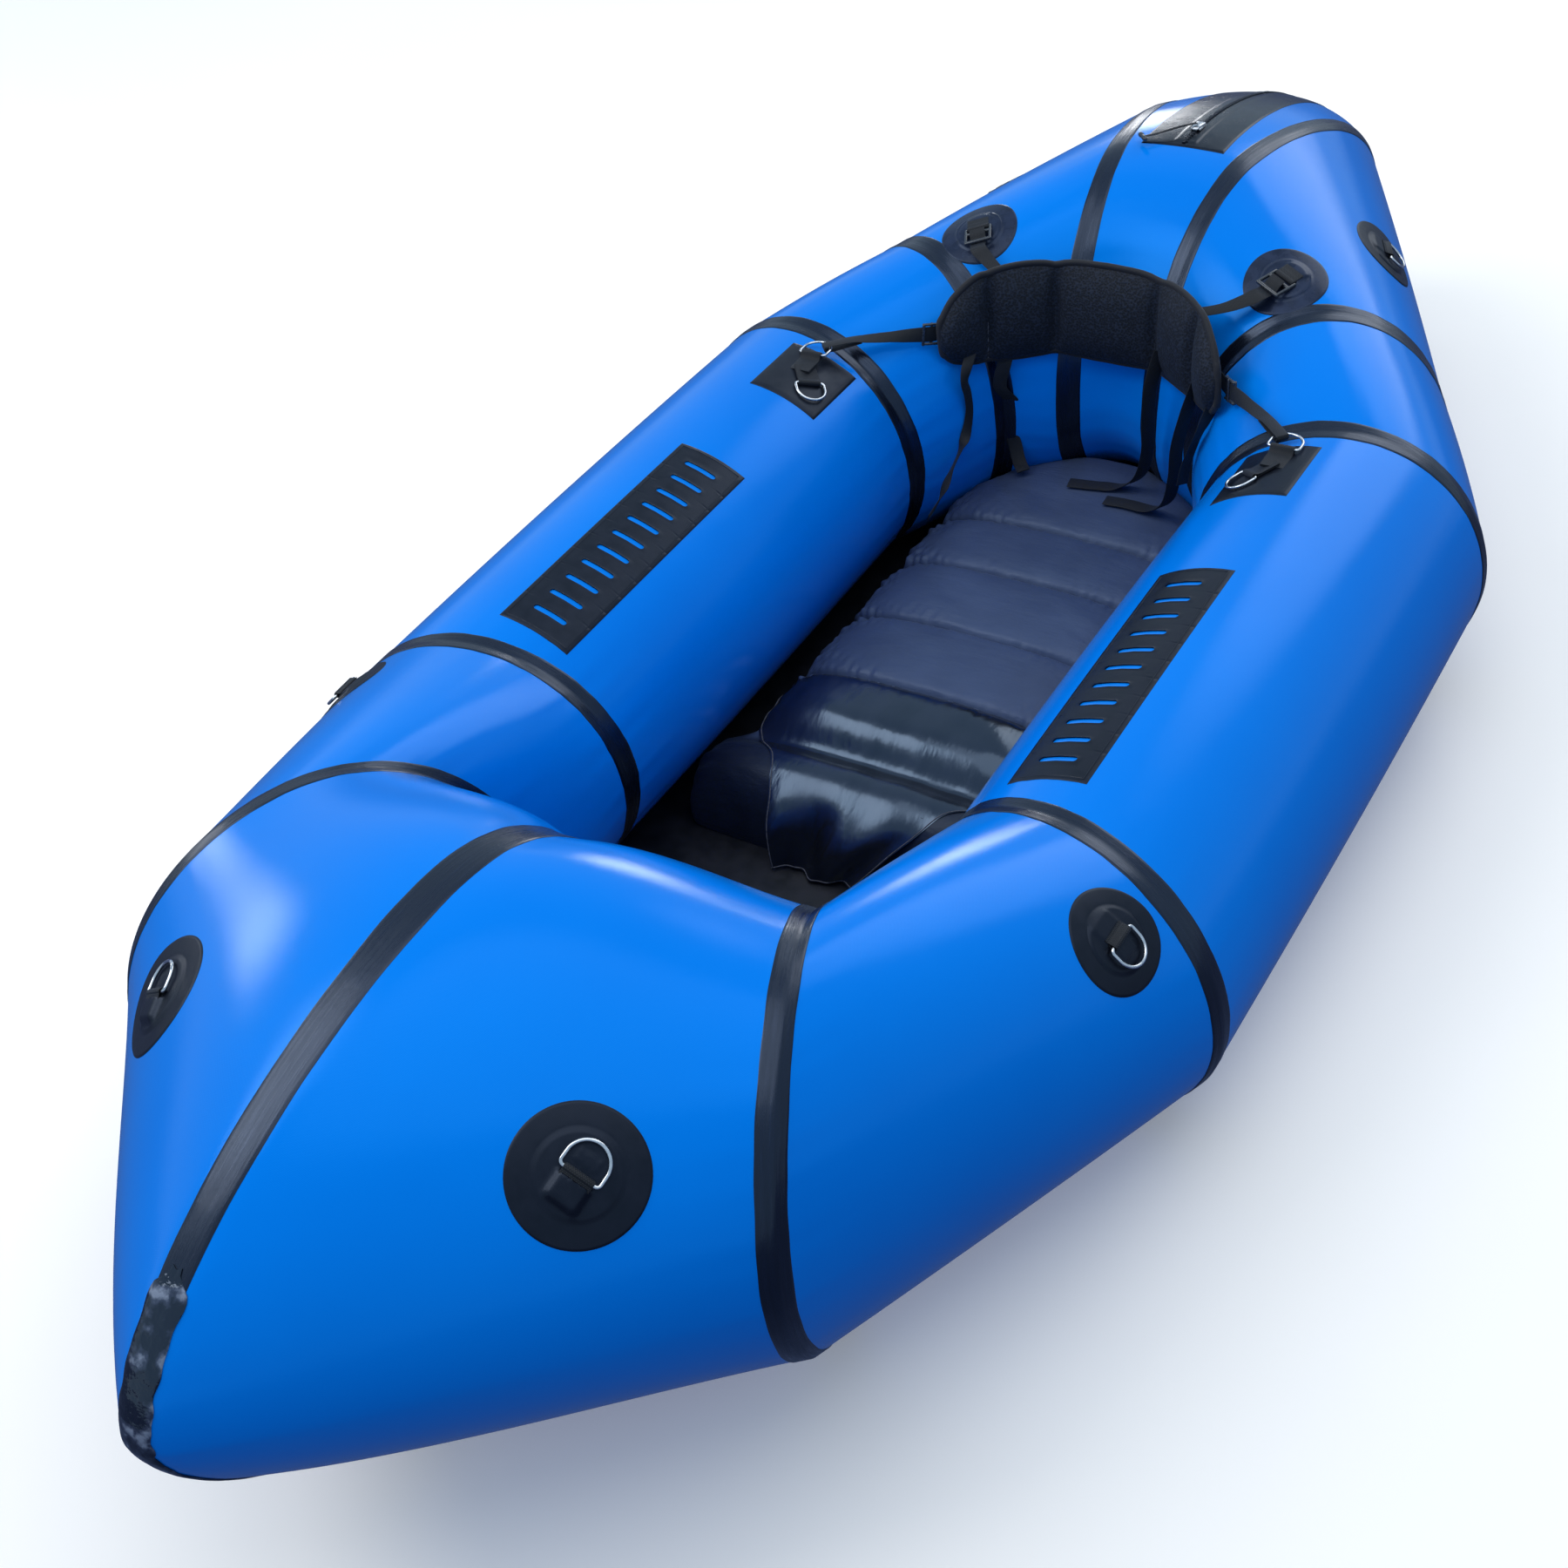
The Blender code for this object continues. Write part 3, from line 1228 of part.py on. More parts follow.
def build_zip():
    """The patch over the crest with its line of closed teeth, a level rail along the slider's travel."""
    place = Place(STERN, 0.5, 90, FORE_AND_AFT, 1)
    level = frame(np.array((0.0, 0.0, STERN_HEIGHT)), FORE_AND_AFT, UP)
    half = ZIP_PATCH_WIDTH / 2
    deep = STERN_HEIGHT / 2
    cutter = add_box("zip_patch_cut", (-half, ZIP_START, -deep), (half, ZIP_END, OVERRUN), "patch", level)
    patch = add_skin_piece("zip_patch", place, cutter, GAP, SKIN_TOP)
    margin = TEETH_WIDTH
    cutter = add_box(
        "zip_teeth_cut",
        (-TEETH_WIDTH / 2, ZIP_START + margin, -deep),
        (TEETH_WIDTH / 2, ZIP_END - margin, OVERRUN),
        "patch",
        level,
    )
    low, high = GAP + PATCH_THICKNESS / 2, SKIN_TOP + TEETH_HEIGHT
    boolean(patch, "UNION", add_skin_piece("zip_teeth", place, cutter, low, high))
    boolean(patch, "UNION", add_skin_piece("zip_rail", place, rail_cutter(), low, high + RAIL_DEPTH))
    build_slider()


PULL_HEADING_SHARES = (-0.73, -0.68, -0.10)


def build_slider():
    """The slider rides over the teeth with a jaw on each side; the pull turns on a pin between its two lugs."""
    own = slider_frame()
    low, teeth = SKIN_TOP + GAP, SKIN_TOP + TEETH_HEIGHT + GAP
    top = teeth + SLIDER_HEIGHT
    half, length = SLIDER_WIDTH / 2, SLIDER_LENGTH / 2
    slider = add_box("zip_slider", (-half, -length, low), (half, length, top), "slider", own)
    rounding = slider.modifiers.new("rounding", "BEVEL")
    rounding.width = SLIDER_HEIGHT / 4
    rounding.segments = 2
    groove = TEETH_WIDTH / 2 + GAP
    boolean(slider, "DIFFERENCE", add_box(
        "zip_slider_groove", (-groove, -OVERRUN, -OVERRUN), (groove, OVERRUN, teeth), "slider", own
    ))
    turn = own.to_3x3()
    spot = np.array(own @ Vector((0, LUG_SETBACK - length, top + PIVOT_HEIGHT)))
    pull = frame(spot, np.array(turn @ Vector(PULL_HEADING_SHARES)), np.array(turn @ Vector(UP)))
    wide, thick = PULLER_WIDTH / 2, PULLER_THICKNESS / 2
    near, far = wide + GAP, wide + GAP + LUG_WIDTH
    for index, (left, right) in enumerate(((-far, -near), (near, far))):
        boolean(slider, "UNION", add_box(
            f"zip_lug_{index}",
            (left, -LUG_LENGTH / 2, -PIVOT_HEIGHT - SLIDER_HEIGHT / 2),
            (right, LUG_LENGTH / 2, PIVOT_HEIGHT),
            "slider",
            pull,
        ))
    bore = PIN_DIAMETER / 2 + GAP
    boolean(slider, "DIFFERENCE", add_bar("zip_lug_bore", bore, 2 * SLIDER_WIDTH, 0, "slider", pull))
    move_origin(slider, slider_centre())
    puller = add_box("zip_puller", (-wide, -thick, -thick), (wide, PULLER_LENGTH, thick), "plastic", pull)
    toggle = add_bar("zip_toggle", TOGGLE_DIAMETER / 2, TOGGLE_LENGTH, 0, "plastic", pull, TOGGLE_SIDES, PULLER_LENGTH)
    boolean(puller, "UNION", toggle)
    boolean(puller, "UNION", add_bar("zip_pin", PIN_DIAMETER / 2, 2 * far, 0, "plastic", pull))


def move_origin(made, origin):
    """Moves an object's origin without moving its mesh."""
    shift = made.matrix_world.inverted() @ Vector(origin)
    made.data.transform(Matrix.Translation(-shift))
    made.matrix_world = made.matrix_world @ Matrix.Translation(shift)


# Inflation valve

VALVE_ALONG_SHARE = 0.5
VALVE_ANGLE_SHARE = 165
CAP_SIDE_SHARE = 0.8
CAP_TOP_SHARE = 0.86


def build_valve():
    """A round flange on the starboard quarter with a screwed neck, and its cap."""
    place = Place(PANELS["quarter"], VALVE_ALONG_SHARE, VALVE_ANGLE_SHARE, (0, 0, 1), -1)
    cutter = disc_cutter("valve_cut", place, VALVE_FLANGE_DIAMETER)
    body = add_skin_piece("valve_body", place, cutter, GAP, RAISED_TOP)
    seat = GAP + PATCH_THICKNESS
    neck = add_turned(
        "valve_neck",
        ((VALVE_DIAMETER / 2, seat), (VALVE_DIAMETER / 2, VALVE_HEIGHT / 2), (CAP_DIAMETER / 2, VALVE_HEIGHT)),
        "plastic",
        place.frame,
    )
    boolean(body, "UNION", neck)
    bore = add_turned(
        "valve_bore", ((VALVE_BORE / 2, VALVE_HEIGHT / 2), (VALVE_BORE / 2, VALVE_HEIGHT + OVERRUN)), "plastic",
        place.frame, BORE_SIDES,
    )
    boolean(body, "DIFFERENCE", bore)
    base = VALVE_HEIGHT + GAP
    add_turned(
        "valve_cap",
        (
            (VALVE_BORE / 2 - GAP, VALVE_HEIGHT / 2 + GAP),
            (VALVE_BORE / 2 - GAP, base),
            (CAP_DIAMETER / 2, base),
            (CAP_DIAMETER / 2, base + CAP_HEIGHT * CAP_SIDE_SHARE),
            (CAP_DIAMETER / 2 * CAP_TOP_SHARE, base + CAP_HEIGHT),
        ),
        "plastic",
        place.frame,
    )


def main():
    for old in list(bpy.data.objects):
        bpy.data.objects.remove(old)
    build_panels()
    build_tapes()
    build_nose_patch()
    build_floor()
    build_ring_patches()
    build_tie_patches()
    build_ladders()
    build_backrest()
    build_front_straps()
    build_strap_patches()
    build_rear_straps()
    build_seat()
    build_flap()
    build_zip()
    build_valve()


main()
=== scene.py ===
"""The looks of the packraft: fine skins, tapes, patches, rings, straps, seat, backrest, zip and valve round
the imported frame, with their materials, a pale floor, soft light and the photograph's camera. Metres, +Z up,
bow at -Y."""

import math

import bpy
import numpy as np
from mathutils import Matrix, Vector
from mathutils.bvhtree import BVHTree


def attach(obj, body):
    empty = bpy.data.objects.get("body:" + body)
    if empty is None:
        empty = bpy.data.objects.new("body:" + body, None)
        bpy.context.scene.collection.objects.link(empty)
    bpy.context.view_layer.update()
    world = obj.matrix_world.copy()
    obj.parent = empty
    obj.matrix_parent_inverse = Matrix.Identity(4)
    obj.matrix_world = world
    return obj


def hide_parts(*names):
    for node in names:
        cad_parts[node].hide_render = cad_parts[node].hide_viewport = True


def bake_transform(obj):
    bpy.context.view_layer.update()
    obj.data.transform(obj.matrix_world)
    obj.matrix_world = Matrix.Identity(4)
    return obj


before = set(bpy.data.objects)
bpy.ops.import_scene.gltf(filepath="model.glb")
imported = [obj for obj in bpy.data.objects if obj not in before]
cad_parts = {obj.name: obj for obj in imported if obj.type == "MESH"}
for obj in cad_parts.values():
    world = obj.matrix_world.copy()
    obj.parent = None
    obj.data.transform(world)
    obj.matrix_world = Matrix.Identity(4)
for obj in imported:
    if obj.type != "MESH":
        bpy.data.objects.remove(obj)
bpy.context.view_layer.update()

# Camera, read from the photograph
CAMERA_PLACE = (0.9022, -1.4582, 1.4817)
CAMERA_RIGHT = (0.84926, 0.51493, -0.11662)
CAMERA_UP = (-0.26421, 0.60573, 0.75053)
CAMERA_BACK = (0.45711, -0.60658, 0.65047)
CAMERA_LENS = 48.39
CAMERA_SENSOR = 36.0

# Fabrics and fittings
GAP = 0.0003
INSET = 0.0009
FABRIC = 0.0004
TAPE_THICKNESS = 0.0008
TAPE_WIDTH = 0.027
BOW_TAPE_WIDTH = 0.035
PATCH_THICKNESS = 0.0008
PATCH_EDGE = 0.0014
RAISED_THICKNESS = 0.0012
WEBBING_WIDTH = 0.025
STRAP_WIDTH = 0.020
WEBBING = 0.0014
FLOOR_THICKNESS = 0.0008
FLOOR_MARGIN = 0.025

# Hull
LENGTH = 2.207
BEAM = 0.940
TUBE_HEIGHT = 0.306
BOW_HEIGHT = 0.451
STERN_HEIGHT = 0.416
COCKPIT_WIDTH = 0.344
COCKPIT_FORE_LENGTH = 0.5015
COCKPIT_AFT_LENGTH = 0.4695
SIDE_SWELL = 0.003
BOW_SWELL = 0.010
BOW_ROUND = 0.030
PUCKER_REACH = 0.022
PUCKER_HEIGHT = 0.00022
HULL_BOTTOM = FLOOR_THICKNESS + TAPE_THICKNESS + 2 * GAP

# Rings and their patches
WIRE_DIAMETER = 0.003
RING_WIDTH = 0.033
RING_REACH = 0.026
RING_CORNER = 0.0035
BORE_RADIUS = WIRE_DIAMETER / 2 + 0.0004
RING_PATCH_DIAMETER = 0.090
BOW_PATCH_DIAMETER = 0.106
TAB_BACK = 0.028
TIE_TAB_BACK = 0.018
STRAP_BAR_HEIGHT = 0.0080
TIE_PATCH_LENGTH = 0.095
TIE_PATCH_WIDTH = 0.084
OVERRUN = 0.030
STEP = 0.001
SKIN_TOP = GAP + PATCH_THICKNESS
RAISED_TOP = SKIN_TOP + RAISED_THICKNESS
BAR_LIFT = WEBBING + BORE_RADIUS + GAP

UP = np.array((0.0, 0.0, 1.0))
FORE_AND_AFT = np.array((0.0, 1.0, 0.0))
FORE_AND_UP = np.array((0.0, 1.0, 1.0))
MIRROR = np.array((-1.0, 1.0, 1.0))
SIDES_OF_BOAT = (("port", 1), ("starboard", -1))
MIDDLE_ONLY = (("", 1),)

# Each seam as shares of the driving sizes, as in the part's own source: inner x and y, outer x and y, rise,
# widest heights outboard and inboard, crown, keel, and roundness inboard above, outboard above and outboard
# below.
SEAM_SHARES = {
    "bow": (0.0, -1.0, 0.0, -1.0, 1.0, 0.599, 0.299, 0.365, 0.43, 0.83, 1.15, 1.30),
    "shoulder": (0.994, -0.8744, 0.683, -0.710, 0.607, 0.604, 0.368, 0.54, 0.44, 1.0, 1.0, 1.15),
    "fore": (1.0, -0.5553, 1.0, -0.3086, 0.0, 0.490, 0.507, 0.50, 0.50, 1.0, 1.0, 1.0),
    "aft": (1.0, 0.6528, 1.0, 0.3194, 0.0, 0.490, 0.507, 0.50, 0.50, 1.0, 1.0, 1.0),
    "quarter": (0.680, 0.9063, 0.7766, 0.4989, 0.318, 0.469, 0.499, 0.48, 0.48, 1.0, 1.0, 1.0),
    "transom": (0.2936, 0.9723, 0.2628, 0.8913, 0.945, 0.610, 0.380, 0.41, 0.486, 1.0, 1.10, 1.0),
    "stern": (0.0, 1.0, 0.0, 1.0, 1.0, 0.517, 0.409, 0.34, 0.50, 1.0, 1.14, 1.0),
}
PANEL_BEFORE = {"shoulder": "bow", "fore": "fore", "aft": "side", "quarter": "aft", "transom": "quarter"}
PANEL_AFTER = {"bow": "bow", "shoulder": "fore", "fore": "side", "aft": "aft", "quarter": "quarter",
               "transom": "stern"}


def unit(vectors):
    vectors = np.asarray(vectors, float)
    return vectors / np.maximum(np.linalg.norm(vectors, axis=-1, keepdims=True), 1e-12)


def smooth(value):
    """0 below 0, 1 above 1 and a smooth step between."""
    value = np.clip(value, 0, 1)
    return value * value * (3 - 2 * value)


def bell(value, width):
    return np.exp(-(value / width) ** 2)


def dome(value, power=2, least=0.0):
    """The height of a round over -1 to 1."""
    return np.sqrt(np.maximum(1 - np.abs(value) ** power, least))


def squared(value, power):
    """A sine or cosine pushed towards a square, its sign kept."""
    return np.sign(value) * np.abs(value) ** power


def turns(count, offset=0.5):
    """Evenly spaced angles round a full turn."""
    return 2 * np.pi * (np.arange(count) + offset) / count


def waves(angle, *parts):
    """A sum of sines, each a (height, waves, phase)."""
    return sum(height * np.sin(count * angle + phase) for height, count, phase in parts)


def side_of(side):
    """What turns a port place into one on that side."""
    return np.array((side, 1, 1))


# Hull surface


def seam_points(seam, degrees):
    """Points of a seam's outline at an array of angles: 0 on the cockpit side, 90 on top, 180 outboard."""
    inner_x, inner_y, outer_x, outer_y, rise, outer_z, inner_z, crown, keel, *roundness = SEAM_SHARES[seam]
    top = TUBE_HEIGHT + rise * ((BOW_HEIGHT if inner_y < 0 else STERN_HEIGHT) - TUBE_HEIGHT)
    reach = COCKPIT_FORE_LENGTH if inner_y < 0 else COCKPIT_AFT_LENGTH
    inner = np.array((inner_x * COCKPIT_WIDTH / 2, inner_y * reach))
    outer = np.array((outer_x * BEAM / 2, outer_y * LENGTH / 2))
    cosine, sine = np.cos(np.radians(degrees)), np.sin(np.radians(degrees))
    inboard, above = cosine >= 0, sine >= 0
    peak = np.where(above, crown, keel)
    above_power, below_power = np.where(inboard, *roundness[:2]), np.where(inboard, 1.0, roundness[2])
    power = np.where(above, above_power, below_power)
    across = np.abs(cosine) ** power
    share = np.where(inboard, peak * (1 - across), peak + (1 - peak) * across)
    widest = top * np.where(inboard, inner_z, outer_z)
    limit = np.where(above, top, HULL_BOTTOM)
    height = widest + (limit - widest) * np.abs(sine) ** power
    flat = inner + (outer - inner) * share[..., None]
    return np.concatenate((flat, height[..., None]), axis=-1)


class Panel:
    """A skin panel between two seams, read at shares along it and angles round it."""

    def __init__(self, name, start, end, swell):
        self.name, self.start, self.end, self.swell = name, start, end, swell
        turn = np.arange(0, 360, 18.0)
        self.centre = (seam_points(start, turn).mean(axis=0) + seam_points(end, turn).mean(axis=0)) / 2

    def length(self, degrees):
        return np.linalg.norm(seam_points(self.start, degrees) - seam_points(self.end, degrees), axis=-1)

    def point(self, along, degrees):
        start, end = seam_points(self.start, degrees), seam_points(self.end, degrees)
        outward = unit((start + end) / 2 - self.centre)
        outward[..., 2] = np.maximum(outward[..., 2], 0)
        skewed = 27 / 4 * along * (1 - along) ** 2
        bulge = skewed if self.start == "bow" else 4 * along * (1 - along)
        along = along[..., None]
        return start * (1 - along) + end * along + outward * (self.swell * bulge)[..., None]

    def normal(self, along, degrees):
        turn = math.degrees(STEP)
        lengthwise = self.point(along + STEP, degrees) - self.point(along - STEP, degrees)
        around = self.point(along, degrees + turn) - self.point(along, degrees - turn)
        return unit(np.cross(around, lengthwise))

    def skin(self, along, degrees, lift):
        """The fine skin, a little inside the smooth surface, with its slight puckers beside the seams."""
        along, degrees = np.broadcast_arrays(np.asarray(along, float), np.asarray(degrees, float))
        length, turn = self.length(degrees), np.radians(degrees)
        pucker = np.zeros(along.shape)
        for seam, distance in ((self.start, along * length), (self.end, (1 - along) * length)):
            phase = 40 * len(seam) + 3 * ord(seam[0])
            ripple = waves(turn, (1.0, 31, phase), (0.7, 47, 2 * phase), (0.5, 71, phase))
            reach = np.maximum(distance, 0) / PUCKER_REACH
            pucker += ripple * reach * np.exp(1 - reach) * (0.35 + 0.65 * np.maximum(np.cos(turn), 0))
        out = (lift - INSET + PUCKER_HEIGHT * pucker)[..., None]
        place = self.point(along, degrees) + self.normal(along, degrees) * out
        return place - self.rounding(along * length, degrees) if self.start == "bow" else place

    def rounding(self, distance, degrees):
        """How far the skin is drawn in beside the bow's middle line: its two panels meet in a round."""
        edge = self.normal(np.zeros(degrees.shape), degrees)
        window = smooth((degrees - 20) / 30) * smooth((262 - degrees) / 25)
        depth = BOW_ROUND / 2 * edge[..., 0] * window * np.maximum(1 - distance / BOW_ROUND, 0) ** 2
        return unit(edge * FORE_AND_UP) * depth[..., None]


class SternPanel(Panel):
    """The panel across the stern, curved from the port transom seam to the starboard one."""

    def length(self, degrees):
        return 2 * np.linalg.norm(seam_points(self.start, degrees) - seam_points("stern", degrees), axis=-1)

    def point(self, along, degrees):
        side, stern = seam_points(self.start, degrees), seam_points("stern", degrees)
        along = along[..., None]
        weights = (1 - along) * (1 - 2 * along), 4 * along * (1 - along), along * (2 * along - 1)
        return side * weights[0] + stern * weights[1] + side * MIRROR * weights[2]


PANELS = {
    "bow": Panel("bow", "bow", "shoulder", BOW_SWELL),
    "fore": Panel("fore", "shoulder", "fore", SIDE_SWELL),
    "side": Panel("side", "fore", "aft", SIDE_SWELL),
    "aft": Panel("aft", "aft", "quarter", SIDE_SWELL),
    "quarter": Panel("quarter", "quarter", "transom", SIDE_SWELL),
    "stern": SternPanel("stern", "transom", "transom", 0.0),
}


# Materials


def set_stops(ramp, stops):
    """Gives a colour ramp its stops of (place, colour or grey)."""
    stripes = ramp.color_ramp.elements
    while len(stripes) < len(stops):
        stripes.new(0.5)
    for stripe, (place, shade) in zip(stripes, stops):
        stripe.position = place
        stripe.color = (*shade, 1) if isinstance(shade, tuple) else (shade, shade, shade, 1)


class Look:
    """A procedural material round a Principled shader."""

    def __init__(self, name, colour, roughness, metallic=0.0, specular=0.5, **others):
        self.made = bpy.data.materials.new(name)
        self.made.use_nodes = True
        self.nodes, self.links = self.made.node_tree.nodes, self.made.node_tree.links
        self.shader = self.nodes["Principled BSDF"]
        inputs = {"Base_Color": (*colour, 1), "Roughness": roughness, "Metallic": metallic}
        inputs.update(Specular_IOR_Level=specular, **others)
        for key, value in inputs.items():
            self.shader.inputs[key.replace("_", " ")].default_value = value

    def node(self, kind, inputs, **settings):
        made = self.nodes.new(kind)
        for key, value in settings.items():
            setattr(made, key, value)
        for key, value in inputs.items():
            if isinstance(value, bpy.types.NodeSocket):
                self.links.new(value, made.inputs[key])
            else:
                made.inputs[key].default_value = value
        return made

    def places(self, kind="Object", stretch=(1, 1, 1)):
        """Object or UV coordinates, stretched."""
        source = self.node("ShaderNodeTexCoord", {}).outputs[kind]
        return self.node("ShaderNodeMapping", {"Vector": source, "Scale": stretch}).outputs["Vector"]

    def noise(self, scale, detail, stretch=(1, 1, 1), rough=0.5, kind="Object"):
        inputs = {"Vector": self.places(kind, stretch), "Scale": scale, "Detail": detail, "Roughness": rough}
        return self.node("ShaderNodeTexNoise", inputs).outputs["Fac"]

    def wave(self, scale, direction, kind="UV"):
        inputs = {"Vector": self.places(kind), "Scale": scale}
        made = self.node("ShaderNodeTexWave", inputs, bands_direction=direction, wave_profile="SIN")
        return made.outputs["Fac"]

    def weave(self, scale, axes="XY"):
        """Fine threads along the object's axes."""
        threads = self.wave(scale, axes[0], "Object")
        for axis in axes[1:]:
            threads = self.maths("ADD", threads, self.wave(scale, axis, "Object"))
        return threads

    def maths(self, operation, first, second):
        return self.node("ShaderNodeMath", {0: first, 1: second}, operation=operation).outputs["Value"]

    def ramped(self, socket, value, stops):
        """Drives one of the shader's inputs by a value, through stops."""
        ramp = self.node("ShaderNodeValToRGB", {"Fac": value})
        set_stops(ramp, stops)
        self.links.new(ramp.outputs["Color"], self.shader.inputs[socket])

    def colour(self, value, *stops):
        self.ramped("Base Color", value, stops)

    def roughness(self, value, *stops):
        self.ramped("Roughness", value, stops)

    def bump(self, height, distance, strength):
        """A bump over the ones before it."""
        inputs = {"Height": height, "Distance": distance, "Strength": strength}
        before = self.shader.inputs["Normal"].links
        if before:
            inputs["Normal"] = before[0].from_socket
        self.links.new(self.node("ShaderNodeBump", inputs).outputs["Normal"], self.shader.inputs["Normal"])


COOL = (0.50, 0.66, 1.0, 1.0)


def grained_look(name, colour, roughness, grain, shades, roughs, bump, finer=None, **others):
    """A look whose colour, roughness and bump follow one noise, with the bump of another over it."""
    look = Look(name, colour, roughness, **others)
    value = look.noise(*grain)
    look.colour(value, *shades)
    look.roughness(value, *roughs)
    if bump:
        look.bump(value, *bump)
    if finer:
        look.bump(look.noise(*finer[:2]), *finer[2:])
    return look.made


def hull_look():
    look = Look("hull_blue_tpu", (0.0, 0.19, 0.80), 0.20, specular=0.42, Specular_Tint=(0.06, 0.42, 1.0, 1.0))
    look.colour(look.noise(3.0, 4), (0.3, (0.0, 0.180, 0.700)), (0.7, (0.0, 0.205, 0.765)))
    look.roughness(look.noise(11.0, 5), (0.3, 0.13), (0.7, 0.18))
    look.bump(look.weave(320, "XYZ"), 0.00004, 0.25)
    look.bump(look.noise(14.0, 2), 0.0008, 0.14)
    return look.made


def patch_look(name="patch_fabric", colour=(0.0035, 0.0042, 0.0075), roughness=0.38):
    look = Look(name, colour, roughness, specular=0.34, Specular_Tint=(0.55, 0.70, 1.0, 1.0))
    grain = look.noise(70.0, 5)
    look.colour(grain, (0.3, tuple(0.75 * c for c in colour)), (0.7, tuple(1.5 * c for c in colour)))
    look.roughness(grain, (0.3, roughness - 0.06), (0.7, roughness + 0.08))
    look.bump(look.weave(420), 0.00005, 0.3)
    look.bump(grain, 0.0004, 0.3)
    return look.made


def webbing_look():
    """Flat woven webbing: ribs across it and a herringbone of yarns, both from its own length and width."""
    look = Look("webbing_black", (0.007, 0.008, 0.012), 0.60, specular=0.35,
                Sheen_Weight=0.06, Sheen_Tint=COOL)
    weave = look.maths("MULTIPLY", look.wave(260, "Y"), look.wave(330, "DIAGONAL"))
    look.colour(weave, (0.1, (0.003, 0.004, 0.006)), (0.8, (0.016, 0.017, 0.024)))
    look.bump(weave, 0.0004, 0.7)
    look.bump(look.noise(150.0, 3), 0.0003, 0.4)
    return look.made


def pad_look():
    """Spacer mesh: a fine net of small holes over dark foam."""
    look = Look("spacer_mesh", (0.006, 0.007, 0.012), 0.72, specular=0.30, Sheen_Weight=0.05, Sheen_Tint=COOL)
    cells = look.node("ShaderNodeTexVoronoi", {"Vector": look.places(), "Scale": 420.0}).outputs["Distance"]
    look.colour(cells, (0.05, (0.001, 0.0015, 0.003)), (0.45, (0.005, 0.007, 0.013)),
                (0.8, (0.014, 0.019, 0.034)))
    look.bump(cells, 0.0007, 0.7)
    look.bump(look.noise(35.0, 4), 0.0015, 0.35)
    return look.made


def binding_look():
    look = Look("edge_binding", (0.006, 0.006, 0.009), 0.60, specular=0.35, Sheen_Weight=0.08)
    ribs = look.wave(300, "Y")
    look.colour(ribs, (0.2, (0.003, 0.003, 0.005)), (0.8, (0.012, 0.012, 0.018)))
    look.bump(ribs, 0.0003, 0.6)
    return look.made


def seat_look():
    """Thin nylon: a fine plain weave with soft wrinkles, and painted shade at the sides and on the front
    roll.
    """
    look = Look("seat_nylon", (0.030, 0.044, 0.100), 0.42, specular=0.42,
                Specular_Tint=(0.62, 0.76, 1.0, 1.0), Sheen_Weight=0.05, Sheen_Tint=COOL)
    across = look.node("ShaderNodeSeparateXYZ", {"Vector": look.places()})
    side = look.maths("SUBTRACT", look.maths("ABSOLUTE", across.outputs["X"], 0.0), 0.148)
    front = look.maths("SUBTRACT", -0.084, across.outputs["Y"])
    # Painted shade: the colour goes darker past the seat's sides and over the front roll, where they turn
    # from the light
    dark = look.maths("MAXIMUM", look.maths("MULTIPLY", side, 22.0), look.maths("MULTIPLY", front, 60.0))
    dark = look.maths("MINIMUM", look.maths("MAXIMUM", dark, 0.0), 0.55)
    tone_and_shade = look.maths("ADD", look.maths("MULTIPLY", look.noise(9.0, 4), 0.42), dark)
    look.colour(tone_and_shade, (0.12, (0.033, 0.048, 0.098)), (0.30, (0.049, 0.070, 0.136)),
                (0.80, (0.007, 0.009, 0.018)))
    look.roughness(look.noise(30.0, 4), (0.3, 0.38), (0.7, 0.50))
    look.bump(look.weave(400), 0.00006, 0.35)
    look.bump(look.noise(22.0, 5, (0.7, 1.6, 1.0)), 0.0050, 0.55)
    look.bump(look.noise(60.0, 4, (0.5, 2.0, 1.0)), 0.0014, 0.45)
    return look.made


def plastic_look(name="moulded_acetal", colour=(0.022, 0.025, 0.033)):
    shades = ((0.2, tuple(0.8 * c for c in colour)), (0.8, tuple(1.3 * c for c in colour)))
    return grained_look(name, colour, 0.24, (500.0, 3), shades, ((0.3, 0.22), (0.7, 0.36)), (0.00005, 0.4),
                        specular=0.75)


def stitch_look():
    look = Look("stitch_thread", (0.05, 0.05, 0.07), 0.7)
    look.bump(look.noise(900.0, 2), 0.0001, 0.5)
    look.colour(look.noise(300.0, 2), (0.3, (0.03, 0.03, 0.04)), (0.7, (0.09, 0.09, 0.11)))
    return look.made


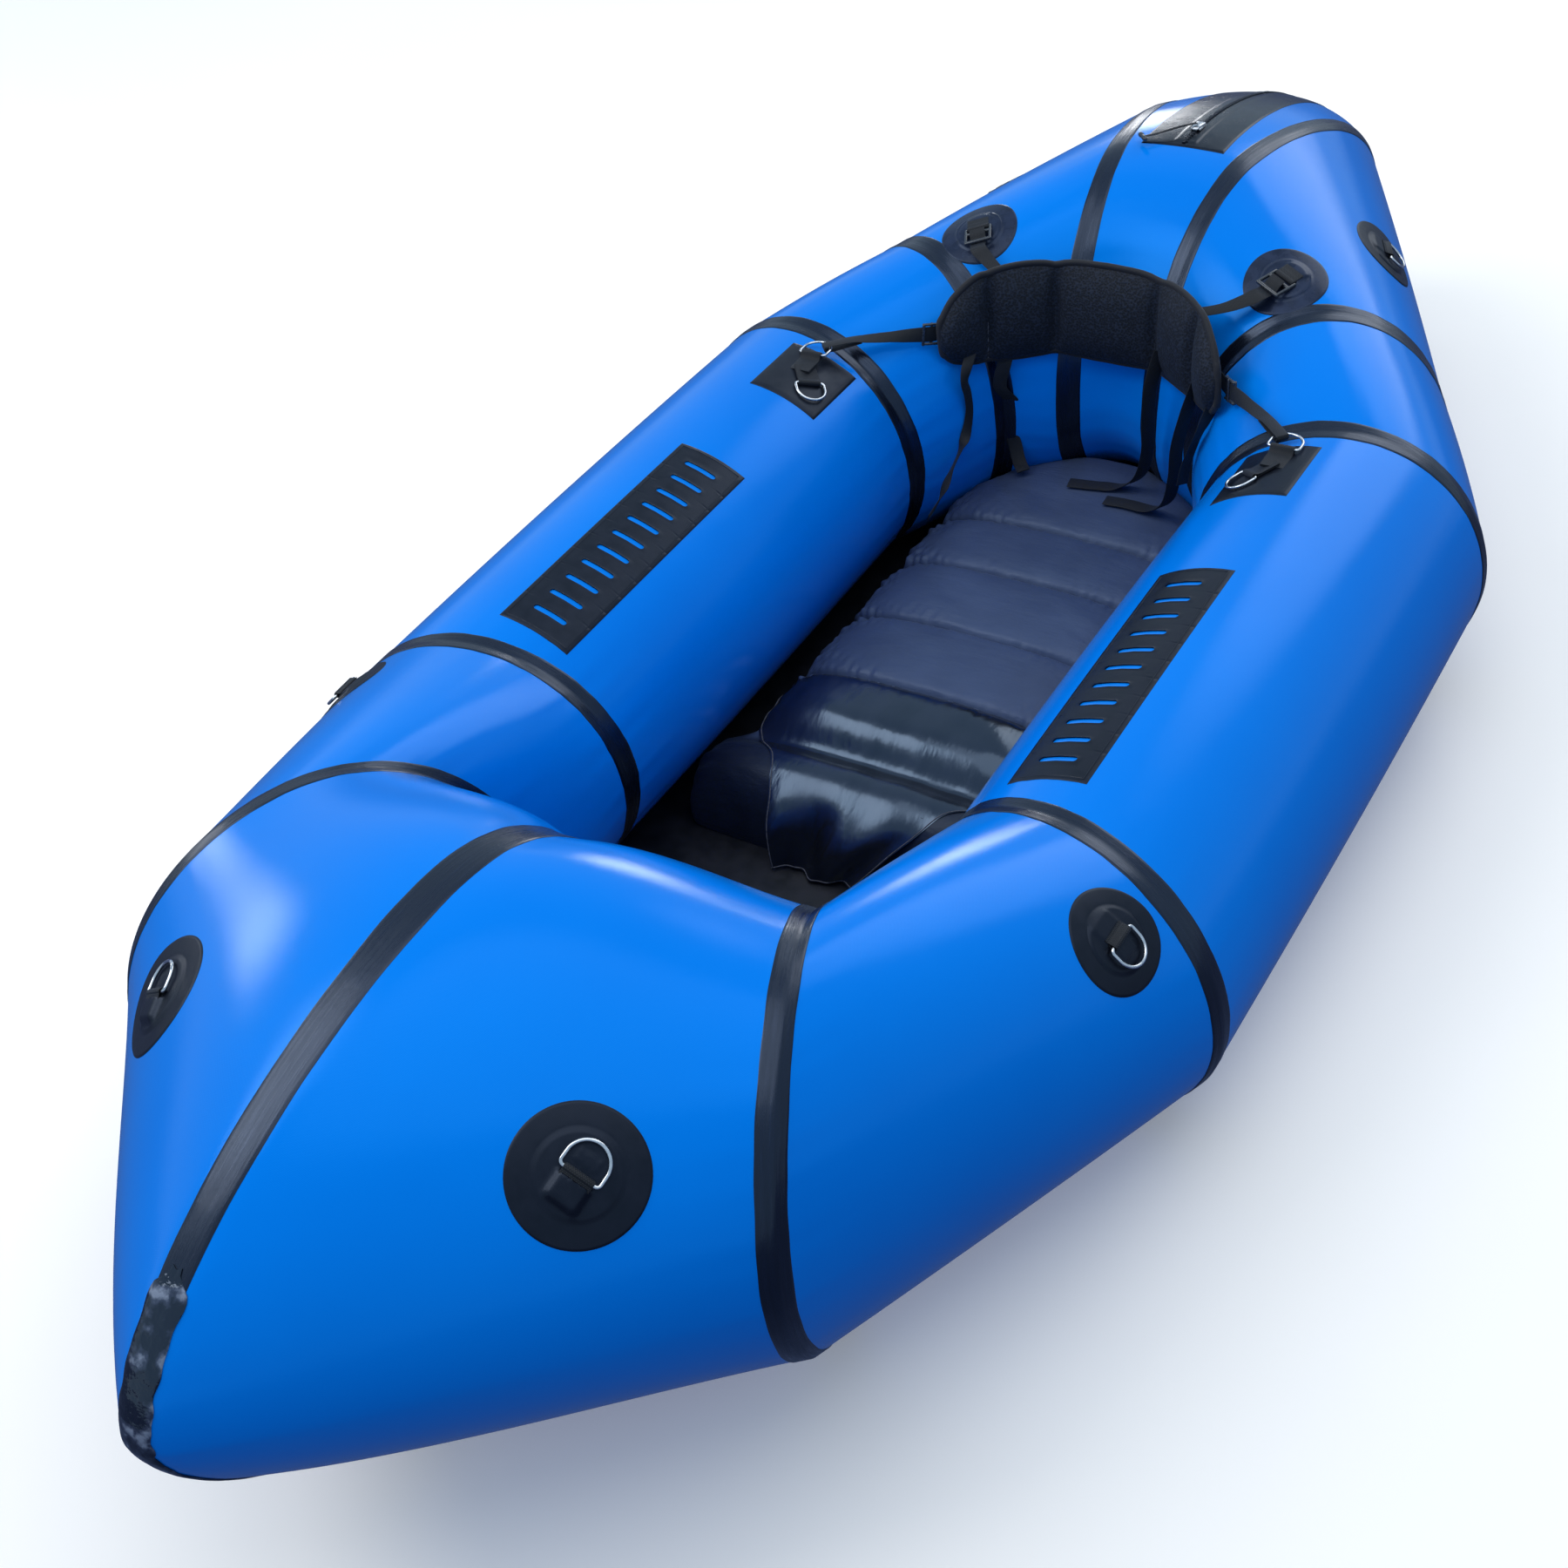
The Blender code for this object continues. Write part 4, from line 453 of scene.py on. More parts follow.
LOOKS = {
    "hull": hull_look(),
    "tape": grained_look(
        "seam_tape", (0.005, 0.006, 0.010), 0.28, (60.0, 6, (0.30, 5.0, 1.0), 0.65, "UV"),
        ((0.35, (0.002, 0.003, 0.006)), (0.62, (0.004, 0.006, 0.013)), (0.80, (0.014, 0.020, 0.042))),
        ((0.30, 0.38), (0.55, 0.27), (0.75, 0.14)), (0.0005, 0.5), (45.0, 4, 0.0008, 0.35),
        specular=0.60, Specular_Tint=COOL, Coat_Weight=0.06, Coat_Roughness=0.08),
    # Glossy film over the nose, crumpled where it was drawn round the point; its pale flecks are painted
    # highlights
    "nose": grained_look(
        "nose_tape", (0.003, 0.004, 0.008), 0.14, (46.0, 4),
        # The palest colour stop paints highlight flecks on the black film
        ((0.50, (0.002, 0.003, 0.006)), (0.56, (0.030, 0.036, 0.060)), (0.62, (0.190, 0.210, 0.270))),
        ((0.35, 0.10), (0.65, 0.26)), (0.0060, 0.55), (90.0, 4, 0.0006, 0.4),
        specular=0.85, Specular_Tint=(0.60, 0.75, 1.0, 1.0)),
    "patch": patch_look(),
    "strap_patch": patch_look("strap_patch_fabric", (0.010, 0.015, 0.034), 0.26),
    "zip_patch": patch_look("zip_patch_fabric", (0.0030, 0.0036, 0.0060), 0.20),
    "webbing": webbing_look(),
    "pad": pad_look(),
    "binding": binding_look(),
    "seat": seat_look(),
    "flap": grained_look(
        "coated_black", (0.006, 0.007, 0.011), 0.22, (16.0, 4, (1.6, 0.7, 0.7)),
        ((0.3, (0.005, 0.006, 0.009)), (0.7, (0.013, 0.015, 0.022))), ((0.3, 0.16), (0.7, 0.27)),
        (0.0040, 0.45), (90.0, 3, 0.0003, 0.3), specular=0.95, Specular_Tint=(0.50, 0.70, 1.0, 1.0)),
    "floor": grained_look(
        "floor_fabric", (0.008, 0.009, 0.013), 0.46, (40.0, 5),
        ((0.3, (0.005, 0.006, 0.009)), (0.7, (0.013, 0.014, 0.021))), ((0.3, 0.38), (0.7, 0.60)),
        None, (7.0, 5, 0.006, 0.4), specular=0.4),
    "wire": grained_look(
        "stainless_wire", (0.66, 0.67, 0.69), 0.22, (220.0, 4),
        ((0.2, (0.52, 0.53, 0.55)), (0.8, (0.76, 0.77, 0.79))), ((0.3, 0.14), (0.7, 0.32)),
        (0.00003, 0.4), metallic=1.0),
    "slider": grained_look(
        "slider_zinc", (0.55, 0.56, 0.58), 0.28, (400.0, 4),
        ((0.2, (0.40, 0.41, 0.43)), (0.8, (0.66, 0.67, 0.70))), ((0.3, 0.20), (0.7, 0.40)),
        (0.00003, 0.4), metallic=1.0),
    "plastic": plastic_look(),
    "cord": plastic_look("pull_cord", (0.012, 0.012, 0.015)),
    "stitch": stitch_look(),
}


# Grids and paths


def wrapped(index):
    return np.hstack((index, index[:, :1]))


def grid_quads(index):
    return np.stack((index[:-1, :-1], index[:-1, 1:], index[1:, 1:], index[1:, :-1]), axis=-1).reshape(-1, 4)


def grid_uvs(across, along):
    corners = np.stack(np.meshgrid(across, along), axis=-1)
    quads = np.stack((corners[:-1, :-1], corners[:-1, 1:], corners[1:, 1:], corners[1:, :-1]), axis=2)
    return quads.reshape(-1, 4, 2)


def lengths(line):
    """Distances along a line to each of its points."""
    return np.concatenate(([0], np.cumsum(np.linalg.norm(np.diff(line, axis=0), axis=1))))


def steps_of(points, wrap):
    """Distances round the middle row and along the first column of a grid of points."""
    row = points[len(points) // 2]
    return lengths(np.concatenate((row, row[:1])) if wrap else row), lengths(points[:, 0])


def smooth_path(points, count, closed=False):
    """A smooth curve through points, with that many places from each to the next."""
    points = np.asarray(points, float)
    if closed:
        ends = np.concatenate((points[-1:], points, points[:2]))
    else:
        ends = np.concatenate((2 * points[:1] - points[1:2], points, 2 * points[-1:] - points[-2:-1]))
    t = (np.arange(count) / count)[:, None]
    found = []
    for p0, p1, p2, p3 in zip(ends, ends[1:], ends[2:], ends[3:]):
        bend = (2 * p0 - 5 * p1 + 4 * p2 - p3) * t ** 2 + (3 * p1 - p0 - 3 * p2 + p3) * t ** 3
        found.append(0.5 * (2 * p1 + (p2 - p0) * t + bend))
    return np.concatenate(found if closed else found + [points[-1:]])


def circle(radius, sides=14, squash=1.0):
    turn = turns(sides)
    return np.stack((radius * np.cos(turn), radius * squash * np.sin(turn)), axis=-1)


def strap_outline(width, thickness):
    """A flat strap's outline with thin rounded edges."""
    half, edge = width / 2, thickness / 2
    right = [(half - thickness, -edge), (half, -edge * 0.3), (half, edge * 0.3), (half - thickness, edge)]
    left = [(-x, -z) for x, z in right]
    return np.array([*left[2:], (0, -edge), *right, (0, edge), *left[:2]])


def frame_of(origin, forward, up):
    """A frame with Y forward and Z as near to up as it can be."""
    right = unit(np.cross(forward, up))
    forward = unit(forward)
    made = Matrix.Identity(4)
    for row, values in enumerate(zip(right, forward, np.cross(right, forward), origin)):
        made[row] = values
    return made


def axes_of(own):
    """A frame's X, Y and Z directions."""
    return np.array(own.to_3x3()).T


def in_world(own, points):
    matrix = np.array(own)
    return np.asarray(points) @ matrix[:3, :3].T + matrix[:3, 3]


# Meshes


class Solid:
    """Closed bodies gathered into one mesh, with UVs in metres along and across each grid."""

    def __init__(self):
        self.points, self.faces, self.uvs, self.count = [], [], [], 0

    def add(self, points, faces, uvs):
        """One closed body, turned so that its faces point out."""
        points = np.asarray(points, float)
        volume = 0.0
        for face in faces:
            for second in range(1, face.shape[1] - 1):
                corners = points[face[:, 0]], points[face[:, second]], points[face[:, second + 1]]
                volume += float(np.einsum("ij,ij->", corners[0], np.cross(corners[1], corners[2])))
        for face, uv in zip(faces, uvs):
            uv = np.zeros((*face.shape, 2)) if uv is None else uv
            if volume < 0:
                face, uv = face[:, ::-1], uv[:, ::-1]
            self.faces += (face + self.count).tolist()
            self.uvs.append(uv.reshape(-1, 2))
        self.points.append(points)
        self.count += len(points)
        return self

    def shell(self, outer, inner, wrap=False):
        """A thin body between two grids of points."""
        count = outer[..., 0].size
        index = np.arange(count).reshape(outer.shape[:2])
        index = wrapped(index) if wrap else index
        under = index + count
        edges = [(index[0, ::-1], under[0, ::-1]), (index[-1], under[-1])]
        if not wrap:
            edges += [(index[:, 0], under[:, 0]), (index[::-1, -1], under[::-1, -1])]
        rims = [np.stack((line[:-1], line[1:], low[1:], low[:-1]), axis=-1) for line, low in edges]
        uv = grid_uvs(*steps_of(outer, wrap))
        points = np.concatenate((outer.reshape(-1, 3), inner.reshape(-1, 3)))
        faces = [grid_quads(index), grid_quads(under)[:, ::-1], *rims]
        return self.add(points, faces, [uv, uv[:, ::-1]] + [None] * len(rims))

    def loft(self, sections, closed=False, middles=None):
        """A body through closed sections, with its ends fanned to their middles, or joined in a ring."""
        sections = np.asarray(sections, float)
        rows, columns = sections.shape[:2]
        index = wrapped(np.arange(rows * columns).reshape(rows, columns))
        across, along = steps_of(sections, True)
        points = sections.reshape(-1, 3)
        if closed:
            along = np.append(along, along[-1] + np.linalg.norm(sections[-1, 0] - sections[0, 0]))
            return self.add(points, [grid_quads(np.vstack((index, index[:1])))], [grid_uvs(across, along)])
        middles = sections[[0, -1]].mean(axis=1) if middles is None else middles
        points = np.concatenate((points, middles))
        first = np.stack((index[0, 1:], index[0, :-1], np.full(columns, len(points) - 2)), axis=-1)
        last = np.stack((index[-1, :-1], index[-1, 1:], np.full(columns, len(points) - 1)), axis=-1)
        return self.add(points, [grid_quads(index), first, last], [grid_uvs(across, along), None, None])

    def sweep(self, path, outline, up, closed=False):
        """An outline of (side, up) offsets carried along a path."""
        path, outline = np.asarray(path, float), np.asarray(outline, float)
        ahead = np.roll(path, -1, axis=0) - np.roll(path, 1, axis=0) if closed else np.gradient(path, axis=0)
        tangent = unit(ahead)
        side = unit(np.cross(tangent, np.broadcast_to(up, path.shape)))
        above = np.cross(side, tangent)
        offsets = side[:, None] * outline[None, :, :1] + above[:, None] * outline[None, :, 1:]
        return self.loft(path[:, None] + offsets, closed)

    def ribbon(self, stations, width, count=6, thickness=WEBBING):
        """A flat strap through (place, direction of its width) stations."""
        path = smooth_path([place for place, _ in stations], count)
        across = unit(smooth_path([unit(across) for _, across in stations], count))
        tangent = unit(np.gradient(path, axis=0))
        across = unit(across - tangent * np.sum(across * tangent, axis=1, keepdims=True))
        out = np.cross(tangent, across)
        outline = strap_outline(1.0, thickness / np.max(width))
        outline[:, 1] *= np.max(width)
        widths = smooth_path(np.broadcast_to(width, len(stations))[:, None], count)
        sections = path[:, None] + across[:, None] * (outline[None, :, :1] * widths[:, None])
        return self.loft(sections + out[:, None] * outline[None, :, 1:])

    def fold(self, own, drop, back):
        """Webbing folded over a bar along the frame's X, its two layers running back along the skin below."""
        radius = BORE_RADIUS + WEBBING / 2
        around = [(radius * math.cos(t), radius * math.sin(t)) for t in np.radians(np.arange(-80, 141, 20))]
        lower = [(-back, 0.5), (-back * 0.5, 0.5), (-0.0035, 0.62)]
        upper = [(-0.0062, 1.9), (-back * 0.6, 1.55), (-back, 1.35)]
        lower, upper = ([(y, WEBBING * layers - drop) for y, layers in part] for part in (lower, upper))
        across = axes_of(own)[0]
        stations = [(in_world(own, (0, y, z)), across) for y, z in lower + around + upper]
        return self.ribbon(stations, WEBBING_WIDTH, 4, WEBBING * 0.92)

    def bar(self, own, start, end, width, thickness):
        """A moulded bar with an oval section and rounded ends."""
        start, end = np.array(start, float), np.array(end, float)
        along = unit(end - start)
        shares = (0, 0.25, 0.6, 1.0)
        path = [start - along * width / 2 * (1 - share) for share in shares]
        path += [end + along * width / 2 * (1 - share) for share in reversed(shares)]
        scales = [float(dome(1 - share, 2, 0.03)) for share in shares + shares[::-1]]
        out = squared(np.cos(turns(16)), 0.7) * width / 2
        lift = squared(np.sin(turns(16)), 0.7) * thickness / 2
        section = unit(np.cross(along, UP)) * out[:, None] + UP * lift[:, None]
        return self.loft([in_world(own, place + section * scale) for place, scale in zip(path, scales)])

    def turned(self, own, profile, ribs=0, depth=0.0, sides=96):
        """A turned body through (radius, height) pairs; ribs cut its widest radius."""
        turn = turns(sides, 0)
        widest = max(radius for radius, _ in profile)
        sections = []
        for radius, height in profile:
            reach = radius - depth * (0.5 + 0.5 * np.cos(ribs * turn)) * smooth((radius / widest - 0.9) / 0.1)
            section = np.column_stack((reach * np.cos(turn), reach * np.sin(turn), np.full(sides, height)))
            sections.append(in_world(own, section))
        return self.loft(sections)

    def plate(self, place, own, flat, faces, top, bottom=-FABRIC):
        """A plate laid on the fine skin: a flat mesh of (x, y) points, lifted by a height at each of them."""
        keys, inverse = np.unique(np.round(flat, 6), axis=0, return_inverse=True)
        count = len(keys)
        upper = [inverse.reshape(-1)[group] for group in faces]
        corners = [face for group in upper for face in group.tolist()]
        edges = dict.fromkeys(pair for face in corners for pair in zip(face, face[1:] + face[:1]))
        rim = np.array([(b, a, a + count, b + count) for a, b in edges if (b, a) not in edges])
        groups = upper + [group[:, ::-1] + count for group in upper] + [rim]
        base = place.heights(own, keys)
        points = [np.column_stack((keys, base + lift)) for lift in (top(*keys.T), bottom)]
        uvs = np.concatenate((keys, keys))
        return self.add(in_world(own, np.concatenate(points)), groups, [uvs[group] for group in groups])

    def build(self, name, look, slot, body="hull", replaced=None, angle=40, mirrored=False):
        points, faces, uvs = np.concatenate(self.points), self.faces, np.concatenate(self.uvs)
        if mirrored:
            points = points * MIRROR
            ends = np.cumsum([len(face) for face in faces])
            uvs = np.concatenate([part[::-1] for part in np.split(uvs, ends[:-1])])
            faces = [face[::-1] for face in faces]
        mesh = bpy.data.meshes.new(name)
        mesh.from_pydata(points.tolist(), [], faces)
        mesh.uv_layers.new(name="UVMap").data.foreach_set("uv", uvs.astype(np.float32).ravel())
        mesh.shade_smooth()
        mesh.set_sharp_from_angle(angle=math.radians(angle))
        made = bpy.data.objects.new(name, mesh)
        bpy.context.scene.collection.objects.link(made)
        mesh.materials.append(LOOKS[look])
        if body:
            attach(made, body)
        if replaced:
            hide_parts(replaced)
        return made


# Hull, tapes and floor

PANEL_ROWS = 30
ROUND_ANGLES = np.arange(0, 360, 2.0)
TAPE_ROW_SHARES = np.array((0.0, 0.20, 0.40, 0.60, 0.78, 0.92, 1.0))
TAPE_EDGE_SHARES = np.array((1.0, 1.0, 1.0, 1.0, 1.0, 0.92, 0.30))
NOSE_ANGLES = (142, 238)
NOSE_START_ANGLE = 5.0
NOSE_TAPER_ANGLES = (222, 238)
FLOOR_RING_SHARES = np.linspace(0.02, 1, 26)


def build_hull():
    for panel in PANELS.values():
        rows = PANEL_ROWS * (2 if panel.name in ("bow", "stern", "side") else 1)
        rim = GAP / panel.length(ROUND_ANGLES)
        shares = 0.5 - 0.5 * np.cos(np.pi * np.arange(rows + 1) / rows)
        along = rim + (1 - 2 * rim) * shares[:, None]
        outer, inner = (panel.skin(along, ROUND_ANGLES[None], lift) for lift in (0, -FABRIC))
        for name, side in MIDDLE_ONLY if panel.name == "stern" else SIDES_OF_BOAT:
            label = f"{panel.name}_panel_{name}".rstrip("_")
            skin = Solid().shell(outer, inner, True)
            skin.build(f"skin_{label}", "hull", "hull", "hull", label, mirrored=side < 0)


def tape_grids(seam, degrees, width_shares, base=0.0, thickness=TAPE_THICKNESS):
    """The upper and lower grid of points of a tape over a seam: rows across it, columns round it."""
    def half(panel, from_end):
        share = TAPE_ROW_SHARES[:, None] * width_shares * width / 2 / panel.length(degrees)
        lifts = base + thickness * TAPE_EDGE_SHARES[:, None] * np.ones(len(degrees))
        along = 1 - share if from_end else share
        return [panel.skin(along, degrees[None], lift) for lift in (lifts, base - FABRIC / 2)]

    width = BOW_TAPE_WIDTH if seam == "bow" else TAPE_WIDTH
    after = half(PANELS[PANEL_AFTER[seam]], False)
    before = [grid * MIRROR for grid in after] if seam == "bow" else half(PANELS[PANEL_BEFORE[seam]], True)
    return [np.concatenate((ahead[:0:-1], (ahead[:1] + behind[:1]) / 2, behind[1:]))
            for ahead, behind in zip(before, after)]


def build_tapes():
    ragged = 1 + waves(np.radians(ROUND_ANGLES), (0.02, 9, 0), (0.012, 23, 1))
    for seam in (*PANEL_BEFORE, "bow"):
        outer, inner = tape_grids(seam, ROUND_ANGLES, ragged)
        for name, side in MIDDLE_ONLY if seam == "bow" else SIDES_OF_BOAT:
            node = f"{seam}_tape_{name}".rstrip("_")
            solid = Solid().shell(outer, inner, True)
            solid.build(f"seam_{seam}_{name}".rstrip("_"), "tape", "tape", "hull", node, mirrored=side < 0)


def build_nose_patch():
    """A second, ragged layer of tape over the nose."""
    degrees = np.linspace(*NOSE_ANGLES, 90)
    opening = smooth((degrees - NOSE_ANGLES[0]) / NOSE_START_ANGLE)
    taper = smooth((degrees - NOSE_TAPER_ANGLES[0]) / (NOSE_TAPER_ANGLES[1] - NOSE_TAPER_ANGLES[0]))
    ragged = 1.20 + waves(np.radians(degrees), (0.05, 37, 0), (0.04, 61, 1)) - 0.30 * taper
    ragged = ragged * (0.25 + 0.75 * opening)
    grids = tape_grids("bow", degrees, ragged, GAP, TAPE_THICKNESS * 2.1 - GAP)
    Solid().shell(*grids).build("seam_nose_patch", "nose", "tape", "hull", "nose_patch")


def build_floor():
    """The floor sheet, its outline smooth through the tubes' bottom line."""
    outline = []
    for seam in SEAM_SHARES:
        bottom, inner = seam_points(seam, np.array((270.0, 0.0)))[:, :2]
        outline.append(bottom + unit(bottom - inner) * FLOOR_MARGIN)
    outline += [point * MIRROR[:2] for point in reversed(outline[1:-1])]
    rings = smooth_path(outline, 14, closed=True) * FLOOR_RING_SHARES[:, None, None]
    lower = np.concatenate((rings, np.zeros((*rings.shape[:2], 1))), axis=-1)
    sections = np.concatenate((lower + UP * FLOOR_THICKNESS, lower[::-1]))
    sheet = Solid().loft(sections, middles=(UP * FLOOR_THICKNESS, UP * 0))
    sheet.build("floor_sheet", "floor", "floor", "hull", "floor")


# Pieces laid on the skin

DISC_SIDES = 96
GRID_EDGE = 0.0012


class Place:
    """A spot on the flat faces of a CAD panel, the way its fitting points, and the fine skin round it."""

    def __init__(self, panel, along, degrees, heading, side):
        panel = PANELS[panel]
        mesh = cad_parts[f"{panel.name}_panel_port" if panel.name != "stern" else "stern_panel"].data
        mesh.calc_loop_triangles()
        corners = [tuple(triangle.vertices) for triangle in mesh.loop_triangles]
        flat = BVHTree.FromPolygons([vertex.co for vertex in mesh.vertices], corners)
        self.mirror = side_of(side)
        along, degrees = np.array(float(along)), np.array(float(degrees))
        outward = panel.normal(along, degrees)
        above = panel.point(along, degrees) + outward * OVERRUN
        self.origin = np.array(flat.ray_cast(Vector(above), Vector(-outward))[0]) * self.mirror
        self.up = outward * self.mirror
        heading = np.array(heading, float) * self.mirror
        self.frame = frame_of(self.origin, heading - self.up * float(heading @ self.up), self.up)
        self.skin = skin_tree(panel)

    def heights(self, own, flat):
        """The fine skin's height at (x, y) places in a frame."""
        down = Vector(-axes_of(own)[2] * self.mirror)
        found = []
        for x, y in flat:
            hit = self.skin.ray_cast(Vector(in_world(own, (x, y, OVERRUN)) * self.mirror), down)
            found.append(OVERRUN - hit[3] if hit[0] is not None else 0.0)
        return np.array(found)


TREES = {}


def skin_tree(panel):
    """A tree of the fine port panel, and of its two neighbours there."""
    if panel.name not in TREES:
        names = [panel.name]
        if panel.name != "stern":
            order = list(PANELS)
            middle = order.index(panel.name)
            names += [order[i] for i in (middle - 1, middle + 1) if i >= 0]
        points, faces = [], []
        for name in names:
            label = f"skin_{name}_panel_port" if name != "stern" else "skin_stern_panel"
            mesh = bpy.data.objects[label].data
            half, count = len(mesh.vertices) // 2, len(points)
            points += [vertex.co.copy() for vertex in mesh.vertices[:half]]
            upper = [face.vertices for face in mesh.polygons if max(face.vertices) < half]
            faces += [tuple(corner + count for corner in face) for face in upper]
        TREES[panel.name] = BVHTree.FromPolygons(points, faces)
    return TREES[panel.name]


def ring_faces(rings, first=0):
    """Faces between rings of points, each ring outside the one before."""
    rows, columns = rings.shape[:2]
    quads = grid_quads(wrapped(first + np.arange(rows * columns).reshape(rows, columns)))
    return quads[:, [0, 3, 2, 1]]


def disc_flat(radius):
    turn = turns(DISC_SIDES, 0)
    shares = np.concatenate((np.linspace(0.06, 0.93, 22), (0.955, 0.975, 0.99, 1.0)))
    rings = radius * shares[:, None, None] * np.stack((np.cos(turn), np.sin(turn)), axis=-1)
    ring = 1 + np.arange(DISC_SIDES)
    fan = np.stack((0 * ring, ring, np.roll(ring, -1)), axis=-1)
    return np.concatenate((np.zeros((1, 2)), rings.reshape(-1, 2))), [fan, ring_faces(rings, 1)]


def spaced(half, count):
    """Places from -half to half, closer together at both ends."""
    inner = np.linspace(-half + GRID_EDGE, half - GRID_EDGE, count)
    return np.concatenate(((-half, -half + GRID_EDGE / 2), inner, (half - GRID_EDGE / 2, half)))


def rect_flat(x_half, y_half, x_count, y_count):
    flat = np.stack(np.meshgrid(spaced(x_half, x_count), spaced(y_half, y_count)), axis=-1)
    return flat.reshape(-1, 2), [grid_quads(np.arange(flat[..., 0].size).reshape(flat.shape[:2]))]


def edge_thin(distance, thickness, reach=PATCH_EDGE):
    return thickness * (0.25 + 0.75 * smooth(distance / reach))


def emboss(x, y, x_half, y_low, y_high, height, soft):
    """A raised rectangle with soft edges."""
    inside = np.minimum(np.minimum(x_half - np.abs(x), y - y_low), y_high - y)
    return height * smooth(inside / soft + 0.5)


RING_DISC_SHARE = 0.64
RING_PLACE_SHARES = {
    "bow": ("bow", 0.66, 135, (0, 1, 0.15), BOW_PATCH_DIAMETER * 0.96),
    "fore": ("fore", 0.842, 131, (1, 0, -1), RING_PATCH_DIAMETER),
    "stern": ("quarter", 0.40, 135, (1, 0.6, -1), RING_PATCH_DIAMETER),
}
HUMP_HEIGHTS = {"bow": 0.0046, "fore": 0.0016, "stern": 0.0016}
RING_TAB_BACK = 0.009
TAB_PROBE = -0.008


def ring_patch_height(radius, hump):
    """The height of a two-layer round patch over the skin, with the webbing's bump under its upper layer."""
    upper = radius * RING_DISC_SHARE

    def height(x, y):
        distance = np.hypot(x, y)
        lift = edge_thin(radius - distance, PATCH_THICKNESS + GAP)
        lift = lift + RAISED_THICKNESS * smooth((upper - distance) / 0.0009)
        lift = lift - 0.0003 * bell(distance - upper - 0.0006, 0.0010)
        inside = smooth((upper - 0.001 - distance) / 0.004)
        soft = 0.0020 + 1.1 * hump
        span = smooth((WEBBING_WIDTH / 2 + 0.001 - np.abs(x)) / soft + 0.4)
        reach = smooth((y + TAB_BACK - 0.003) / soft + 0.3) * smooth((-0.0035 - y) / 0.003 + 0.5)
        lift = lift + hump * inside * span * reach
        return lift + inside * emboss(x, y, WEBBING_WIDTH / 2 - 0.003, 0.007, 0.0165, 0.0006, 0.0012)
    return height


def ring_path():
    """The D-ring's line in its own frame: right corner, bow, left corner and bar."""
    half, inset = RING_WIDTH / 2, RING_WIDTH / 2 - RING_CORNER
    turn, corner = np.radians(np.linspace(0, 180, 25)), np.radians(np.linspace(-90, 0, 6))
    bow = list(zip(half * np.cos(turn), RING_REACH - half + half * np.sin(turn)))
    right = list(zip(inset + RING_CORNER * np.cos(corner), RING_CORNER + RING_CORNER * np.sin(corner)))
    left = [(-x, y) for x, y in reversed(right)]
    bar = [(x, 0.0) for x in np.linspace(-inset, inset, 8)[1:-1]]
    return np.array([(x, y, 0.0) for x, y in right + bow[1:-1] + left + bar])


def build_ring(name, own, body, node):
    """A welded wire D-ring."""
    solid = Solid().sweep(in_world(own, ring_path()), circle(WIRE_DIAMETER / 2), axes_of(own)[2], closed=True)
    solid.build(name, "wire", "wire", body, node)


def build_tab(name, place, top, back):
    """A tab of webbing on a patch with its top at that height, and the frame of the bar that it holds."""
    bar = place.frame @ Matrix.Translation((0, 0, top + BAR_LIFT))
    skin = float(place.heights(place.frame, [(0, TAB_PROBE)])[0])
    Solid().fold(bar, BAR_LIFT - skin, back).build(f"tab_{name}", "webbing", "webbing")
    return bar


def build_ring_patches():
    for name, side in SIDES_OF_BOAT:
        for where, (panel, along, degrees, heading, diameter) in RING_PLACE_SHARES.items():
            place = Place(panel, along, degrees, heading, side)
            height = ring_patch_height(diameter / 2, HUMP_HEIGHTS[where])
            solid = Solid().plate(place, place.frame, *disc_flat(diameter / 2), height)
            solid.build(f"patch_{where}_{name}", "patch", "patch", "hull", f"{where}_ring_patch_{name}")
            bar = build_tab(f"{where}_{name}", place, RAISED_TOP, RING_TAB_BACK)
            build_ring(f"dring_{where}_{name}", bar, f"{where}_ring_{name}", f"{where}_ring_{name}")


TIE_PATCH_SHARES = (0.880, 69)
FREE_TAB_SHARES = (0.868, 65)
STRAP_TAB_SHARES = (0.928, 72)


def strap_bar_frame(side):
    place = Place("side", *STRAP_TAB_SHARES, FORE_AND_AFT, side)
    return frame_of(place.origin + UP * STRAP_BAR_HEIGHT, FORE_AND_AFT, UP)


def build_tie_patches():
    width, length = TIE_PATCH_WIDTH / 2, TIE_PATCH_LENGTH / 2

    def height(x, y):
        edge = np.minimum(width - np.abs(x), length - np.abs(y))
        return edge_thin(edge, PATCH_THICKNESS + GAP) + 0.0003 * smooth((edge - 0.004) / 0.001)

    for name, side in SIDES_OF_BOAT:
        place = Place("side", *TIE_PATCH_SHARES, FORE_AND_AFT, side)
        solid = Solid().plate(place, place.frame, *rect_flat(width, length, 40, 44), height)
        solid.build(f"patch_tie_{name}", "patch", "patch", "hull", f"tie_patch_{name}")
        free = Place("side", *FREE_TAB_SHARES, (-1, -1, 0), side)
        bar = build_tab(f"tie_{name}", free, SKIN_TOP, TIE_TAB_BACK + 0.010)
        build_ring(f"dring_tie_{name}", bar, f"tie_ring_{name}", f"tie_ring_{name}")
        bar = strap_bar_frame(side)
        tab = Solid().fold(bar, STRAP_BAR_HEIGHT - SKIN_TOP - PATCH_THICKNESS, TIE_TAB_BACK + 0.012)
        tab.build(f"tab_backrest_{name}", "webbing", "webbing")
        build_ring(f"dring_backrest_{name}", bar, "backrest", f"backrest_ring_{name}")


